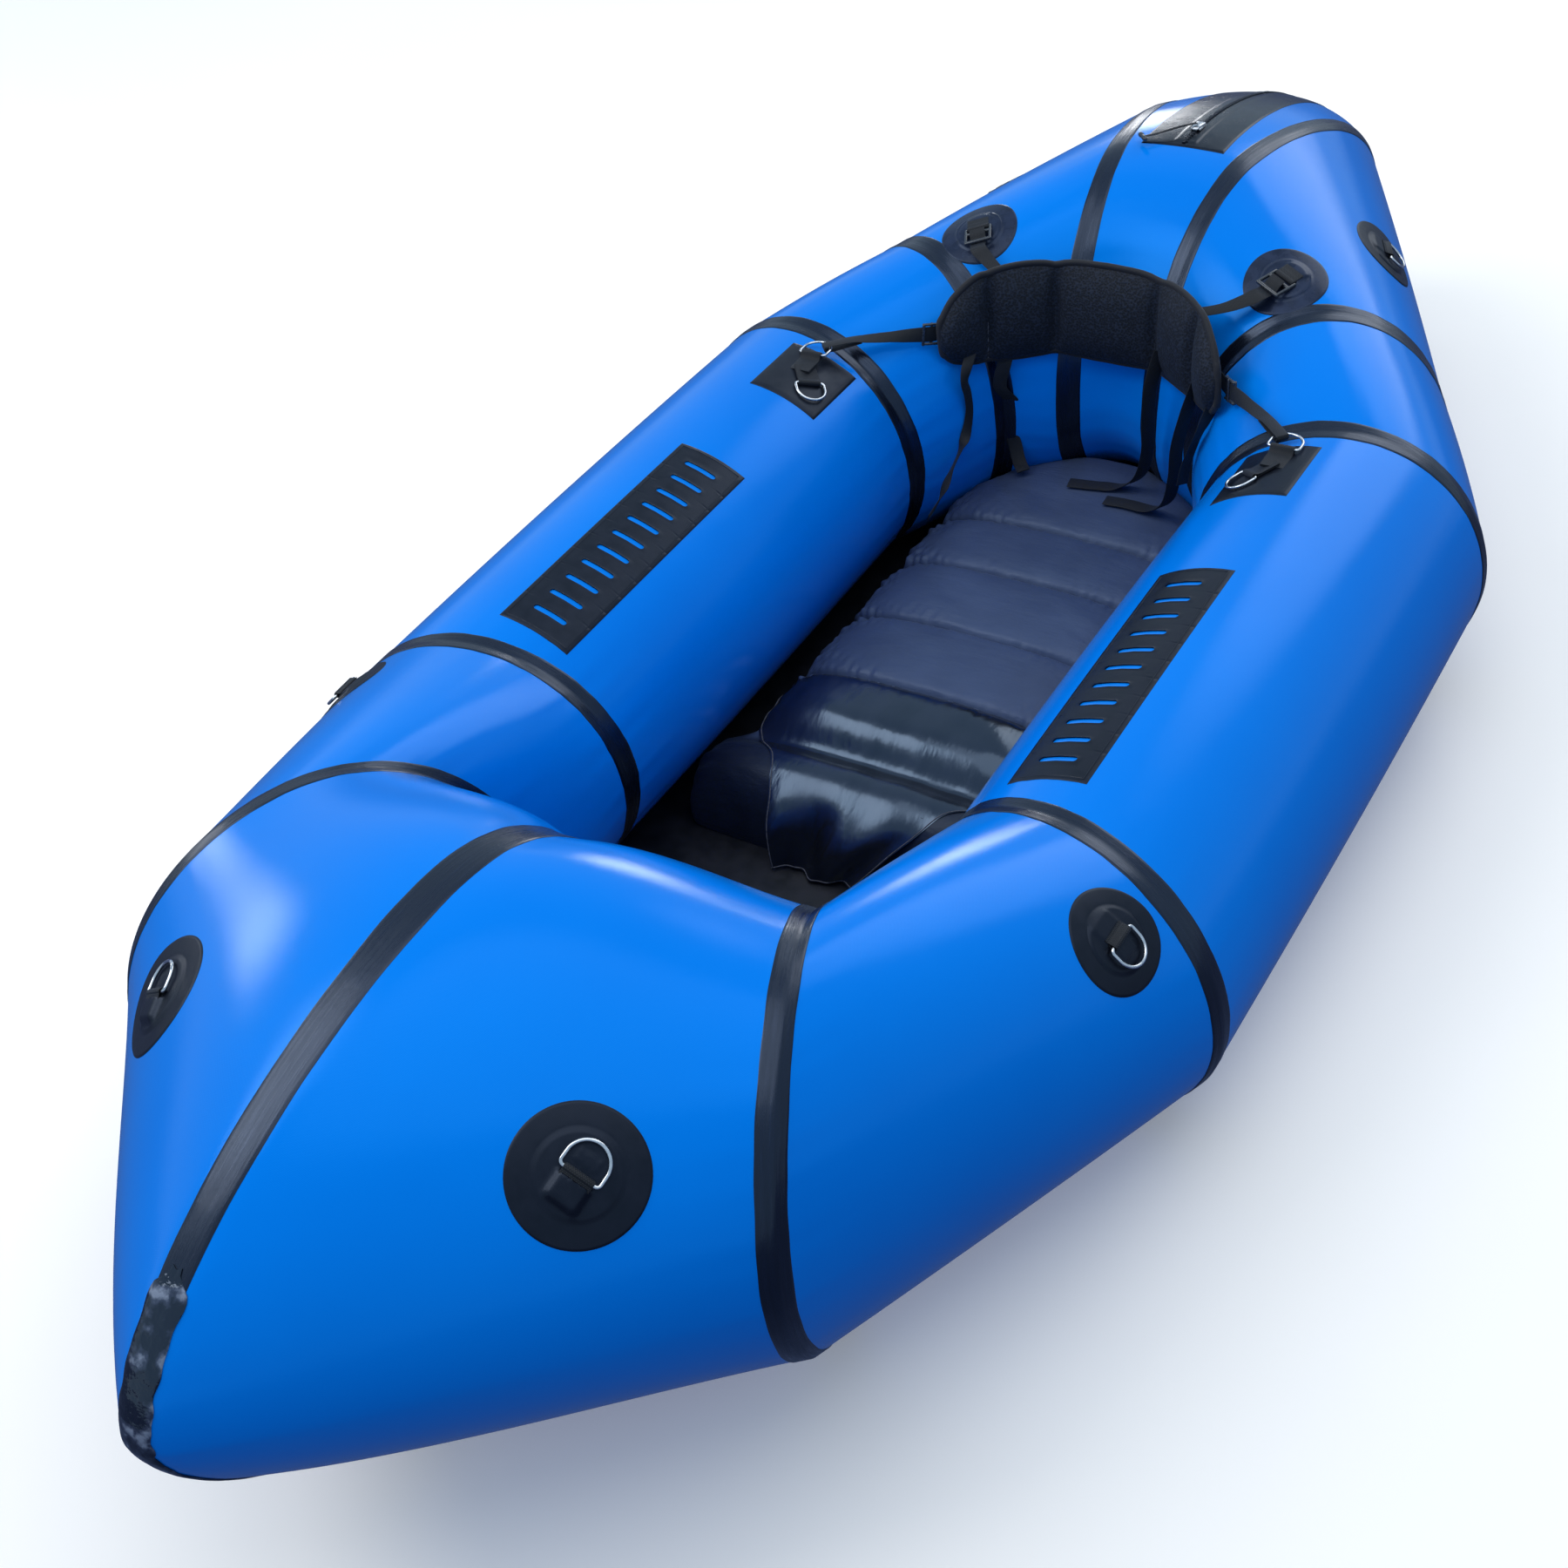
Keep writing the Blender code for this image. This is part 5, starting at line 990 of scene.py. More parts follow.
LADDER_SHARES = (0.326, 70.8)
LADDER_LENGTH = 0.325
LADDER_WIDTH = 0.080
LADDER_SLOTS = 11
SLOT_LENGTH = 0.038
SLOT_WIDTH = 0.0066
SLOT_PITCH = 0.027
SLOT_LIP = 0.0012
SLOT_SIDES = 40
BEAD_INSET = 0.0045
BEAD_RADIUS = 0.0008


def slot_cell(middle, low, high):
    """Flat mesh of one rung of a lash strip: rings from the slot's rounded outline out to the cell's edge."""
    cosine, sine = np.cos(turns(SLOT_SIDES, 0)), np.sin(turns(SLOT_SIDES, 0))
    radius, half = SLOT_WIDTH / 2, LADDER_WIDTH / 2
    straight = (SLOT_LENGTH / 2 - radius) * np.sign(np.round(cosine, 9))
    slot = np.stack((radius * np.round(cosine, 9) + straight, middle + radius * sine), axis=-1)
    near = slot + SLOT_LIP * np.stack((cosine, sine), axis=-1)
    scale = 1 / np.maximum(np.abs(cosine), np.abs(sine))
    reach = np.where(sine < 0, middle - low, high - middle)
    outer = np.stack((half * cosine * scale, middle + reach * sine * scale), axis=-1)
    rings = np.array([slot, near] + [near + (outer - near) * share for share in (0.25, 0.5, 0.75, 0.94, 1.0)])
    return rings.reshape(-1, 2), ring_faces(rings)


def ladder_height(x, y):
    edge = np.minimum(LADDER_WIDTH / 2 - np.abs(x), LADDER_LENGTH / 2 - np.abs(y))
    last = (LADDER_SLOTS - 1) / 2
    slot = np.clip(np.round(y / SLOT_PITCH), -last, last) * SLOT_PITCH
    beside = np.hypot(np.maximum(np.abs(x) - SLOT_LENGTH / 2 + SLOT_WIDTH / 2, 0), y - slot)
    lip = 0.0005 * smooth((0.0045 - beside) / 0.002)
    return edge_thin(edge, PATCH_THICKNESS + FABRIC) + lip - 0.0003 * bell(edge - 0.005, 0.0012)


def build_ladders():
    """The lash strips: rungs of one sheet with rounded slots that show the hull below, in a raised bead."""
    half, length = LADDER_WIDTH / 2, LADDER_LENGTH / 2
    flats, faces = [], []
    for slot in range(LADDER_SLOTS):
        middle = (slot - (LADDER_SLOTS - 1) / 2) * SLOT_PITCH
        low = -length if slot == 0 else middle - SLOT_PITCH / 2
        high = length if slot == LADDER_SLOTS - 1 else middle + SLOT_PITCH / 2
        flat, cell = slot_cell(middle, low, high)
        faces.append(cell + slot * len(flat))
        flats.append(flat)
    x, y = half - BEAD_INSET, length - BEAD_INSET
    corners = np.array(((-x, -y), (x, -y), (x, y), (-x, y), (-x, -y)))
    shares = np.linspace(0, 1, 40, endpoint=False)[:, None]
    loop = np.concatenate([a + (b - a) * shares for a, b in zip(corners[:-1], corners[1:])])
    for name, side in SIDES_OF_BOAT:
        place = Place("side", *LADDER_SHARES, FORE_AND_AFT, side)
        flat, cells = np.concatenate(flats), [np.concatenate(faces)]
        solid = Solid().plate(place, place.frame, flat, cells, ladder_height, 0.0)
        lift = place.heights(place.frame, loop) + ladder_height(*loop.T)
        bead = in_world(place.frame, np.column_stack((loop, lift)))
        solid.sweep(bead, circle(BEAD_RADIUS, 8, 0.6), place.up, closed=True)
        solid.build(f"lash_ladder_{name}", "patch", "patch", "hull", f"lash_strip_{name}")


# Backrest

BACKREST_LENGTH = 0.374
BACKREST_HEIGHT = 0.110
BACKREST_END_HEIGHT = 0.052
BACKREST_THICKNESS = 0.020
BACKREST_END_THICKNESS = 0.016
BACKREST_MIDDLE_HEIGHT = 0.308
BACKREST_END_MIDDLE_HEIGHT = 0.296
BACKREST_LEAN = 0.012
BACKREST_STAND_OFF = 0.008
BACKREST_PLAN_SHARES = ((0.0, 0.987), (0.155, 0.975), (0.299, 0.900), (0.424, 0.800))
BACKREST_SEAM_SHARES = (0.31, 0.70)
PAD_SIDES = 56
PAD_SEAM_WIDTH = 0.0055
PAD_PILLOW = 0.014
BINDING_RADIUS = 0.0042
STRAP_BACK_SHARES = (0.96, 0.88, 0.77, 0.70, 0.63, 0.50)
STRAP_RETURN = 0.028
ADJUSTER_WIDTH = 0.023
ADJUSTER_LENGTH = 0.020
RISE = unit((0.0, BACKREST_LEAN, BACKREST_HEIGHT))
PLAN = smooth_path([
    (x * BACKREST_LENGTH, y * COCKPIT_AFT_LENGTH - BACKREST_STAND_OFF) for x, y in BACKREST_PLAN_SHARES
], 16)
PLAN_LENGTH = float(lengths(PLAN)[-1])


def plan_place(share):
    """A place on the pad's front face in plan, at a share of its half length."""
    return np.array([np.interp(share, lengths(PLAN) / PLAN_LENGTH, PLAN[:, axis]) for axis in (0, 1)])


def backrest_station(share):
    """A place on the pad's front face in plan at a share of its half length, and the way out of its back."""
    along = unit(plan_place(min(share + 0.05, 1)) - plan_place(max(share - 0.05, 0)))
    bent = smooth(share / 0.1)
    return plan_place(share), unit(np.array((-along[1], along[0])) * bent + np.array((0, 1)) * (1 - bent))


def towards_end(share, middle, end):
    """A value that goes from the pad's middle part to its end."""
    seam = BACKREST_SEAM_SHARES[-1]
    return middle + (end - middle) * min(max((share - seam) / (1 - seam), 0.0), 1.0) ** 1.5


def backrest_middle(share):
    return towards_end(share, BACKREST_MIDDLE_HEIGHT, BACKREST_END_MIDDLE_HEIGHT)


def back_of_pad(share, height, distance):
    """A place behind the pad, or past its end on the same line."""
    on_pad = min(share, 1.0)
    place, back = backrest_station(on_pad)
    place = place + np.array((back[1], -back[0])) * (share - on_pad) * PLAN_LENGTH
    x, y = place + back * (BACKREST_THICKNESS + distance)
    return np.array((x, y + BACKREST_LEAN * (height - backrest_middle(on_pad)) / BACKREST_HEIGHT, height))


def pad_section(share, side):
    """One upright section of the pad: crowned panels, drawn in at the seams and at the bound rim."""
    place, back = backrest_station(share)
    seams = (*BACKREST_SEAM_SHARES, -BACKREST_SEAM_SHARES[0])
    nearest = min(abs(share - seam) for seam in seams) * PLAN_LENGTH
    pillow = 1 - math.exp(-nearest / PAD_PILLOW)
    tip = max(1 - (1 - share) / 0.10, 0)
    height = towards_end(share, BACKREST_HEIGHT, BACKREST_END_HEIGHT)
    height *= math.sqrt(max(1 - tip ** 2 * 0.72, 0.02)) * (1 - 0.085 * (1 - pillow))
    thickness = towards_end(share, BACKREST_THICKNESS, BACKREST_END_THICKNESS) * (1 - 0.6 * tip ** 2)
    out, lift = squared(np.cos(turns(PAD_SIDES)), 0.6), squared(np.sin(turns(PAD_SIDES)), 0.75)
    crown = 0.60 + np.where(out < 0, 1.10, 0.40) * (1 - np.abs(lift) ** 2.5) * pillow
    drawn = 0.60 * bell(nearest, PAD_SEAM_WIDTH) * (1 - 0.5 * np.abs(lift) ** 4)
    half = thickness / 2 * crown * (1 - drawn)
    lift = lift * height / 2
    flat = place + back * (BACKREST_THICKNESS / 2 + out * half)[:, None]
    lean = BACKREST_LEAN * lift / BACKREST_HEIGHT
    return np.column_stack((flat[:, 0] * side, flat[:, 1] + lean, backrest_middle(share) + lift))


def build_adjusters():
    """The strap adjusters at the pad's two ends: a moulded frame with a middle bar, behind the binding."""
    half, reach = ADJUSTER_WIDTH / 2, ADJUSTER_LENGTH / 2
    for name, side in SIDES_OF_BOAT:
        stations = front_strap_stations(side)
        place, across = stations[-len(STRAP_BACK_SHARES) - 1]
        towards = stations[-len(STRAP_BACK_SHARES) - 3][0] - place
        own = frame_of(place, towards, np.cross(unit(towards), across))
        solid = Solid()
        for x in (-half, half):
            solid.bar(own, (x, -reach, 0), (x, reach, 0), 0.003, 0.0034)
        for y, lift in ((-reach, -0.0016), (0, 0.0016), (reach, -0.0016)):
            solid.bar(own, (-half, y, lift), (half, y, lift), 0.0034, 0.0026)
        solid.build(f"back_adjuster_{name}", "plastic", "plastic", "backrest")


def build_backrest():
    shares = np.unique(np.concatenate((np.linspace(0, 0.9, 64), np.linspace(0.9, 1.0, 14))))
    sections = [pad_section(share, -1) for share in shares[:0:-1]]
    sections += [pad_section(share, 1) for share in shares]
    pad = Solid().loft(sections).build("back_pad", "pad", "pad", "backrest", "backrest_pad", angle=60)
    above, below = ([section[side] for section in sections] for side in (PAD_SIDES // 4, 3 * PAD_SIDES // 4))
    loop = smooth_path((above + below[::-1])[::3], 3, closed=True)
    binding = Solid().sweep(loop, circle(BINDING_RADIUS, 12, 0.75), FORE_AND_AFT, closed=True)
    binding.build("back_pad_binding", "binding", "pad", "backrest")
    stitches = Solid()
    for side in (1, -1):
        for seam in BACKREST_SEAM_SHARES:
            section = pad_section(seam, side)
            front = section[np.argsort(section[:, 2])]
            front = front[front[:, 1] < front[:, 1].mean()]
            stitches.sweep(front[2:-2], circle(0.0006, 6), FORE_AND_AFT)
    stitches.build("back_pad_seams", "stitch", "pad", "backrest")
    build_adjusters()


def between(first, last, steps):
    """Shares and places inside a straight run, cut into that many steps."""
    shares = np.arange(1, steps) / steps
    return [(share, first * (1 - share) + last * share) for share in shares]


def front_strap_stations(side):
    """The front strap's return under its ring, the turn inside the bow, and the run behind the pad."""
    arc_centre = np.array(strap_bar_frame(1).translation) + FORE_AND_AFT * (RING_REACH - RING_WIDTH / 2)
    end = back_of_pad(1.0, BACKREST_END_MIDDLE_HEIGHT, GAP + WEBBING)
    along = unit((end - arc_centre) * np.array((1, 1, 0)))
    inside = math.sqrt((RING_WIDTH / 2) ** 2 - (STRAP_WIDTH / 2) ** 2) - WIRE_DIAMETER / 2
    turn_centre = arc_centre + along * inside
    radius = WIRE_DIAMETER / 2 + GAP + WEBBING
    across = np.cross(along, UP)
    places = [turn_centre + along * (STRAP_RETURN + 0.012) - UP * radius * 0.3]
    places.append(turn_centre + along * (STRAP_RETURN * 0.5) - UP * radius * 0.9)
    for angle in np.radians(np.arange(90, 271, 45)):
        places.append(turn_centre + (along * math.cos(angle) - UP * math.sin(angle)) * radius)
    places.append(turn_centre + along * STRAP_RETURN + UP * radius * 0.9)
    stations = [(place, across) for place in places]
    close = 2 * GAP + WEBBING / 2
    last = back_of_pad(1.03, BACKREST_END_MIDDLE_HEIGHT, close)
    for share, place in between(places[-1], last, 6):
        stations.append((place, unit(across * (1 - share) + RISE * share)))
    stations.append((last, RISE))
    stations += [(back_of_pad(share, BACKREST_END_MIDDLE_HEIGHT, close), RISE) for share in STRAP_BACK_SHARES]
    return [(place * side_of(side), across * side_of(side)) for place, across in stations]


# Free tails below the pad, as in the photograph: their places, the direction of their width, and the width
TAILS = {
    "far": ((
        (-0.137, 0.400, 0.280), (-0.137, 0.374, 0.250), (-0.137, 0.379, 0.225), (-0.137, 0.379, 0.200),
        (-0.137, 0.362, 0.173), (-0.137, 0.325, 0.152), (-0.137, 0.300, 0.135), (-0.139, 0.272, 0.124),
    ), (0.2, 0.75, 0.65), 0.012),
    "far_inner": ((
        (-0.108, 0.438, 0.275), (-0.112, 0.423, 0.245), (-0.118, 0.421, 0.215), (-0.108, 0.432, 0.190),
        (-0.117, 0.428, 0.165), (-0.108, 0.430, 0.140), (-0.100, 0.424, 0.119), (-0.088, 0.412, 0.114),
    ), (0.9, 0.3, 0.0), 0.016),
    "near_inner": ((
        (0.070, 0.446, 0.285), (0.066, 0.428, 0.250), (0.064, 0.426, 0.208), (0.061, 0.430, 0.165),
        (0.052, 0.428, 0.130), (0.030, 0.424, 0.1135), (0.004, 0.418, 0.1115), (-0.030, 0.412, 0.1115),
    ), (0.5, 0.8, 0.0), 0.018),
    "near": ((
        (0.128, 0.418, 0.280), (0.120, 0.402, 0.245), (0.113, 0.392, 0.205), (0.111, 0.390, 0.168),
        (0.103, 0.390, 0.132), (0.082, 0.394, 0.1135), (0.050, 0.396, 0.1115), (0.024, 0.394, 0.1115),
    ), (0.5, 0.8, 0.0), 0.018),
    "near_outer": ((
        (0.158, 0.392, 0.275), (0.150, 0.371, 0.248), (0.140, 0.372, 0.222), (0.133, 0.370, 0.198),
        (0.130, 0.366, 0.175),
    ), (0.4, 0.8, 0.2), 0.016),
}


def build_straps():
    for name, side in SIDES_OF_BOAT:
        stations = front_strap_stations(side)
        widths = np.interp(np.arange(len(stations)), (0, 8, 10, 13), (0.0135, 0.0135, 0.0125, 0.0180))
        strap = Solid().ribbon(stations, widths)
        strap.build(f"strap_front_{name}", "webbing", "webbing", "backrest", f"front_strap_{name}")
    for name, (places, across, width) in TAILS.items():
        tail = Solid().ribbon([(np.array(place), unit(across)) for place in places], width, 8)
        tail = tail.build(f"strap_tail_{name}", "webbing", "webbing", None)
        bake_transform(tail)


STRAP_PATCH_SHARES = (0.235, 81)
STRAP_HEADING_SHARES = (-0.45, -1.0, 0.0)
STRAP_TAB_LENGTH = 0.014
BUCKLE_WIDTH = 0.031
BUCKLE_LENGTH = 0.028
BUCKLE_THICKNESS = 0.004
BUCKLE_BAR_WIDTH = 0.004
BUCKLE_SIDE_WIDTH = 0.0025
BUCKLE_TILT_ANGLE = 12
BUCKLE_MIDDLE_SHARE = 0.26
REAR_STRAP_SHARE = 0.55
REAR_STRAP_HEIGHT_SHARE = 0.28
REAR_STRAP_SAG = 0.004
REAR_STRAP_SINK = 0.004


def strap_patch_height(x, y):
    radius = RING_PATCH_DIAMETER / 2
    upper, distance = radius * RING_DISC_SHARE, np.hypot(x, y)
    lift = edge_thin(radius - distance, PATCH_THICKNESS + GAP)
    lift = lift + RAISED_THICKNESS * smooth((upper - distance) / 0.0016)
    lift = lift - 0.0006 * bell(distance - radius * 0.56, 0.0012)
    inside = smooth((upper - 0.001 - distance) / 0.006)
    return lift + inside * emboss(x, y, WEBBING_WIDTH / 2 + 0.001, -TAB_BACK, -0.004, WEBBING, 0.0022)


def build_strap_patches():
    half = BUCKLE_WIDTH / 2 - BUCKLE_SIDE_WIDTH / 2
    first = BUCKLE_LENGTH * BUCKLE_MIDDLE_SHARE + BUCKLE_BAR_WIDTH / 2
    outer = BUCKLE_LENGTH - BUCKLE_BAR_WIDTH / 2
    for name, side in SIDES_OF_BOAT:
        place = Place("quarter", *STRAP_PATCH_SHARES, STRAP_HEADING_SHARES, side)
        solid = Solid().plate(place, place.frame, *disc_flat(RING_PATCH_DIAMETER / 2), strap_patch_height)
        solid.build(f"patch_strap_{name}", "strap_patch", "patch", "hull", f"strap_patch_{name}")
        bar = build_tab(f"strap_{name}", place, RAISED_TOP, STRAP_TAB_LENGTH)
        own = bar @ Matrix.Rotation(math.radians(BUCKLE_TILT_ANGLE), 4, "X")
        buckle = Solid()
        for x in (-half, half):
            buckle.bar(own, (x, 0, 0), (x, outer, 0), BUCKLE_SIDE_WIDTH * 1.3, BUCKLE_THICKNESS)
        for y, width in ((0, WIRE_DIAMETER), (first, BUCKLE_BAR_WIDTH), (outer, BUCKLE_BAR_WIDTH)):
            buckle.bar(own, (-half, y, 0), (half, y, 0), width, min(width, BUCKLE_THICKNESS))
        buckle.build(f"ladder_buckle_{name}", "plastic", "plastic", "hull", f"ladder_lock_{name}")
        build_rear_strap(name, side, own)


def build_rear_strap(name, side, own):
    """From a short tail up round the buckle's outer bar, and on to the pad's top, into its back."""
    across, along, above = axes_of(own)
    outer = in_world(own, (0, BUCKLE_LENGTH - BUCKLE_BAR_WIDTH / 2, 0))
    radius = BUCKLE_THICKNESS / 2 + GAP + WEBBING / 2
    height = BACKREST_MIDDLE_HEIGHT + BACKREST_HEIGHT * REAR_STRAP_HEIGHT_SHARE
    end, sunk = (back_of_pad(REAR_STRAP_SHARE, height, distance) * side_of(side)
                 for distance in (2 * (WEBBING + GAP), -REAR_STRAP_SINK))
    places = [outer - along * 0.016 + above * (radius + 0.003), outer - along * 0.010 + above * radius]
    places.append(outer - along * 0.0055 - above * radius * 0.3)
    for angle in np.radians((180, 225, 270)):
        places.append(outer + (along * math.cos(angle) + above * math.sin(angle)) * radius)
    places.append(outer + along * 0.012 - above * radius * 0.6)
    for share, place in between(places[-1], end, 5):
        places.append(place - UP * REAR_STRAP_SAG * math.sin(math.pi * share))
    places += [end, sunk]
    widths = np.interp(np.arange(len(places)), (0, 6, 9, 11), (0.018, 0.018, 0.013, 0.013))
    strap = Solid().ribbon([(place, across) for place in places], widths)
    strap = strap.build(f"strap_rear_{name}", "webbing", "webbing", None, f"rear_strap_{name}")
    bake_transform(strap)


# Seat

SEAT_WIDTH = 0.330
SEAT_HEIGHT = 0.107
SEAT_LENGTH = 0.6190
SEAT_REAR = COCKPIT_AFT_LENGTH - 0.0240
SEAT_FRONT = SEAT_REAR - SEAT_LENGTH
SEAT_END = SEAT_REAR + 0.0425
SEAT_END_GAP = 0.0006
SEAT_REAR_ROUND = 0.125
SEAT_REAR_EDGE = 0.013
SEAT_CREASE = SEAT_FRONT + 0.090
SEAT_LOBE_START = SEAT_CREASE - 0.022
SEAT_LOBE_ROUND = 0.060
ROLL_HEIGHT = 0.088
ROLL_HALF_WIDTH = 0.202
ROLL_POWER = 2.3
SEAT_CHANNEL = 0.010
SEAT_PILLOW = 0.011
SEAT_SEAM_WIDTH = 0.0030
SEAT_VALLEY_SHARES = (0.302, 0.478, 0.654, 0.808)
SEAT_BOTTOM = FLOOR_THICKNESS + GAP
SEAT_ROWS = 360
SEAT_COLUMNS = 340


def seat_profile(y):
    """Half the width, the height, how full and how creased the seat is along it, and the nearest seam."""
    def rounded(distance, length):
        return dome(np.clip(1 - distance / length, 0, 1))

    roll_share = np.clip((y - SEAT_FRONT) / (SEAT_CREASE - SEAT_FRONT) * 0.93, 0, 1)
    roll = ROLL_HEIGHT * np.maximum(1 - np.abs(2 * roll_share - 1) ** ROLL_POWER, 0) ** (1 / ROLL_POWER)
    lobe = SEAT_HEIGHT * rounded(y - SEAT_LOBE_START, SEAT_LOBE_ROUND)
    height = (roll ** 7 + lobe ** 7) ** (1 / 7) * (0.45 + 0.55 * rounded(SEAT_END - y, SEAT_REAR_EDGE))
    bolster = smooth((SEAT_CREASE + 0.012 - y) / 0.024)
    front = np.maximum(1 - np.abs(2 * np.minimum(roll_share, 0.5) - 1) ** 3, 0.0) ** (1 / 3)
    half = SEAT_WIDTH / 2 * (1 - bolster) + ROLL_HALF_WIDTH * (0.90 + 0.10 * front) * bolster
    half = half * np.maximum(rounded(SEAT_END - y, SEAT_REAR_ROUND), 0.05)
    near = np.abs(y - SEAT_FRONT - SEAT_LENGTH * np.array(SEAT_VALLEY_SHARES)).min(axis=1, keepdims=True)
    return half, height, 1 - np.exp(-near / SEAT_PILLOW), bell(near, SEAT_SEAM_WIDTH), near


def seat_ripple(x, y, edge, near, turn, up_shape):
    """Puckers: gathers that start in the seams, deepest towards the two edges, and run out over the lobes."""
    fan = near * (1 + 1.5 * edge) * np.sign(np.cos(turn))
    gather = np.sin(430 * x + 150 * fan + 1.3) + 0.7 * np.sin(655 * x - 90 * fan + 2.1 + 9 * y)
    gather = gather + 0.8 * np.sin(265 * x + 60 * fan + 23 * y)
    rise = near / SEAT_SEAM_WIDTH / (1 + near / SEAT_SEAM_WIDTH)
    reach = rise * np.exp(-near / (0.010 + 0.020 * edge)) * (0.25 + 0.75 * np.sin(31 * x + 50 * y) ** 2)
    sides = np.sin(190 * y + 5 * turn) + 0.6 * np.sin(331 * y + 1)
    creases = np.maximum(np.sin(29 * x + 44 * y) * np.sin(17 * y + 2) - 0.55, 0) * up_shape
    ripple = gather * reach * (0.00150 + 0.00280 * edge) + 0.0014 * sides * edge ** 2 + 0.0036 * creases
    return ripple * (np.sin(turn) > -0.5)


def build_seat():
    shares = np.linspace(0.0, 1.0, SEAT_ROWS)[:, None]
    spread = shares - 0.12 * np.sin(2 * np.pi * shares) / (2 * np.pi)
    y = SEAT_FRONT + SEAT_END_GAP + (SEAT_END - SEAT_FRONT - 2 * SEAT_END_GAP) * spread
    half, height, pillow, crease, near = seat_profile(y)
    turn = turns(SEAT_COLUMNS, 0)[None]
    cosine, sine = np.cos(turn), np.sin(turn)
    middle = SEAT_BOTTOM + height * 0.42
    x_shape = squared(cosine, 0.62)
    up_shape = np.where(sine >= 0, np.abs(sine) ** 0.6, 0)
    down_shape = np.where(sine < 0, np.abs(sine) ** 0.3, 0)
    top = height - SEAT_CHANNEL * (0.8 * (1 - pillow) + 0.35 * crease)
    x = (half - SEAT_CHANNEL * (0.9 * (1 - pillow) + 0.3 * crease)) * x_shape
    z = middle + (SEAT_BOTTOM + top - middle) * up_shape - (middle - SEAT_BOTTOM) * down_shape
    ripple = seat_ripple(x, y, bell(1 - np.abs(x_shape), 0.20), near, turn, up_shape)
    x = x + ripple * cosine * 0.8
    z = np.maximum(z + ripple * up_shape, SEAT_BOTTOM)
    sections = np.stack((x, np.broadcast_to(y, x.shape), z), axis=-1)
    seat = Solid().loft(sections).build("seat_cushion", "seat", "seat", "hull", "seat", angle=50)
    return seat


FLAP_THICKNESS = 0.0010
FLAP_OFFSET = 0.0016
FLAP_FOOT = 0.004
FLAP_FLARE = 0.022
FLAP_ROWS = 110
FLAP_COLUMNS = 90
FLAP_OVER_SHARE = 0.62
FLAP_BROW = SEAT_FRONT + 0.036
FLAP_LEFT = (0.0, -0.163), (0.36, -0.163), (0.46, -0.145), (0.54, -0.118), (0.70, -0.094), (1.0, -0.078)
FLAP_RIGHT = (0.0, 0.163), (0.36, 0.163), (0.48, 0.140), (0.58, 0.100), (0.78, 0.055), (1.0, 0.011)
PROBE_HEIGHT = 0.3
PROBE_FRONT = -0.4


def flap_place(tree, share, across):
    """A place on the apron, at shares down and across it: on the seat, or hanging before the roll."""
    left, right = (float(np.interp(share, *zip(*edge))) for edge in (FLAP_LEFT, FLAP_RIGHT))
    x = left + (right - left) * across
    valley = SEAT_FRONT + SEAT_LENGTH * SEAT_VALLEY_SHARES[0]
    y = valley + (FLAP_BROW - valley) * min(share / FLAP_OVER_SHARE, 1)
    hit = tree.ray_cast(Vector((x, y, PROBE_HEIGHT)), Vector(-UP))
    high = (hit[0].z if hit[0] is not None else SEAT_BOTTOM) + FLAP_OFFSET
    if share < FLAP_OVER_SHARE:
        return x, y, high
    drop = (share - FLAP_OVER_SHARE) / (1 - FLAP_OVER_SHARE)
    z = high + (FLAP_FOOT - high) * drop
    hit = tree.ray_cast(Vector((x, PROBE_FRONT, min(z, high - 0.002))), Vector(FORE_AND_AFT))
    fold = 0.5 + 0.5 * math.sin(2 * math.pi * (1.6 * across + 0.10 + 0.25 * drop))
    small = 0.5 + 0.5 * math.sin(2 * math.pi * (4.1 * across + 0.3 * drop))
    hang = 0.55 * FLAP_FLARE * drop ** 1.5 + 0.012 * fold * smooth(drop * 2.0) + 0.003 * small * drop
    return x, min(hit[0].y if hit[0] is not None else FLAP_BROW, FLAP_BROW) - FLAP_OFFSET - hang, z


def build_flap(seat):
    """The coated apron: sewn along the front channel, drawn over the bolster, hanging in folds before it."""
    tree = BVHTree.FromObject(seat, bpy.context.evaluated_depsgraph_get())
    down, across = np.linspace(0, 1, FLAP_ROWS), np.linspace(0, 1, FLAP_COLUMNS)
    outer = np.array([[flap_place(tree, share, column) for column in across] for share in down])
    for _ in range(10):
        outer[1:-1] = (outer[:-2] + outer[2:] + 2 * outer[1:-1]) / 4
    normal = unit(np.cross(np.gradient(outer, axis=1), -np.gradient(outer, axis=0)))
    crumple = np.sin(40 * outer[..., 0] + 9) * np.sin(33 * outer[..., 2] + 60 * outer[..., 0]) * 0.0010
    outer = outer + normal * (crumple * smooth(down[:, None] * across * 3))[..., None]
    flap = Solid().shell(outer, outer - normal * FLAP_THICKNESS * 0.6)
    flap = flap.build("seat_apron", "flap", "flap", "hull", "seat_flap", angle=60)
    hems = Solid()
    for edge in (outer[8:, 1], outer[8:, -2], outer[-2]):
        hems.sweep(edge[::2], circle(0.0007, 6), UP + FORE_AND_AFT * 0.1)
    hems = hems.build("seat_apron_hem", "stitch", "flap")


# Cargo zip

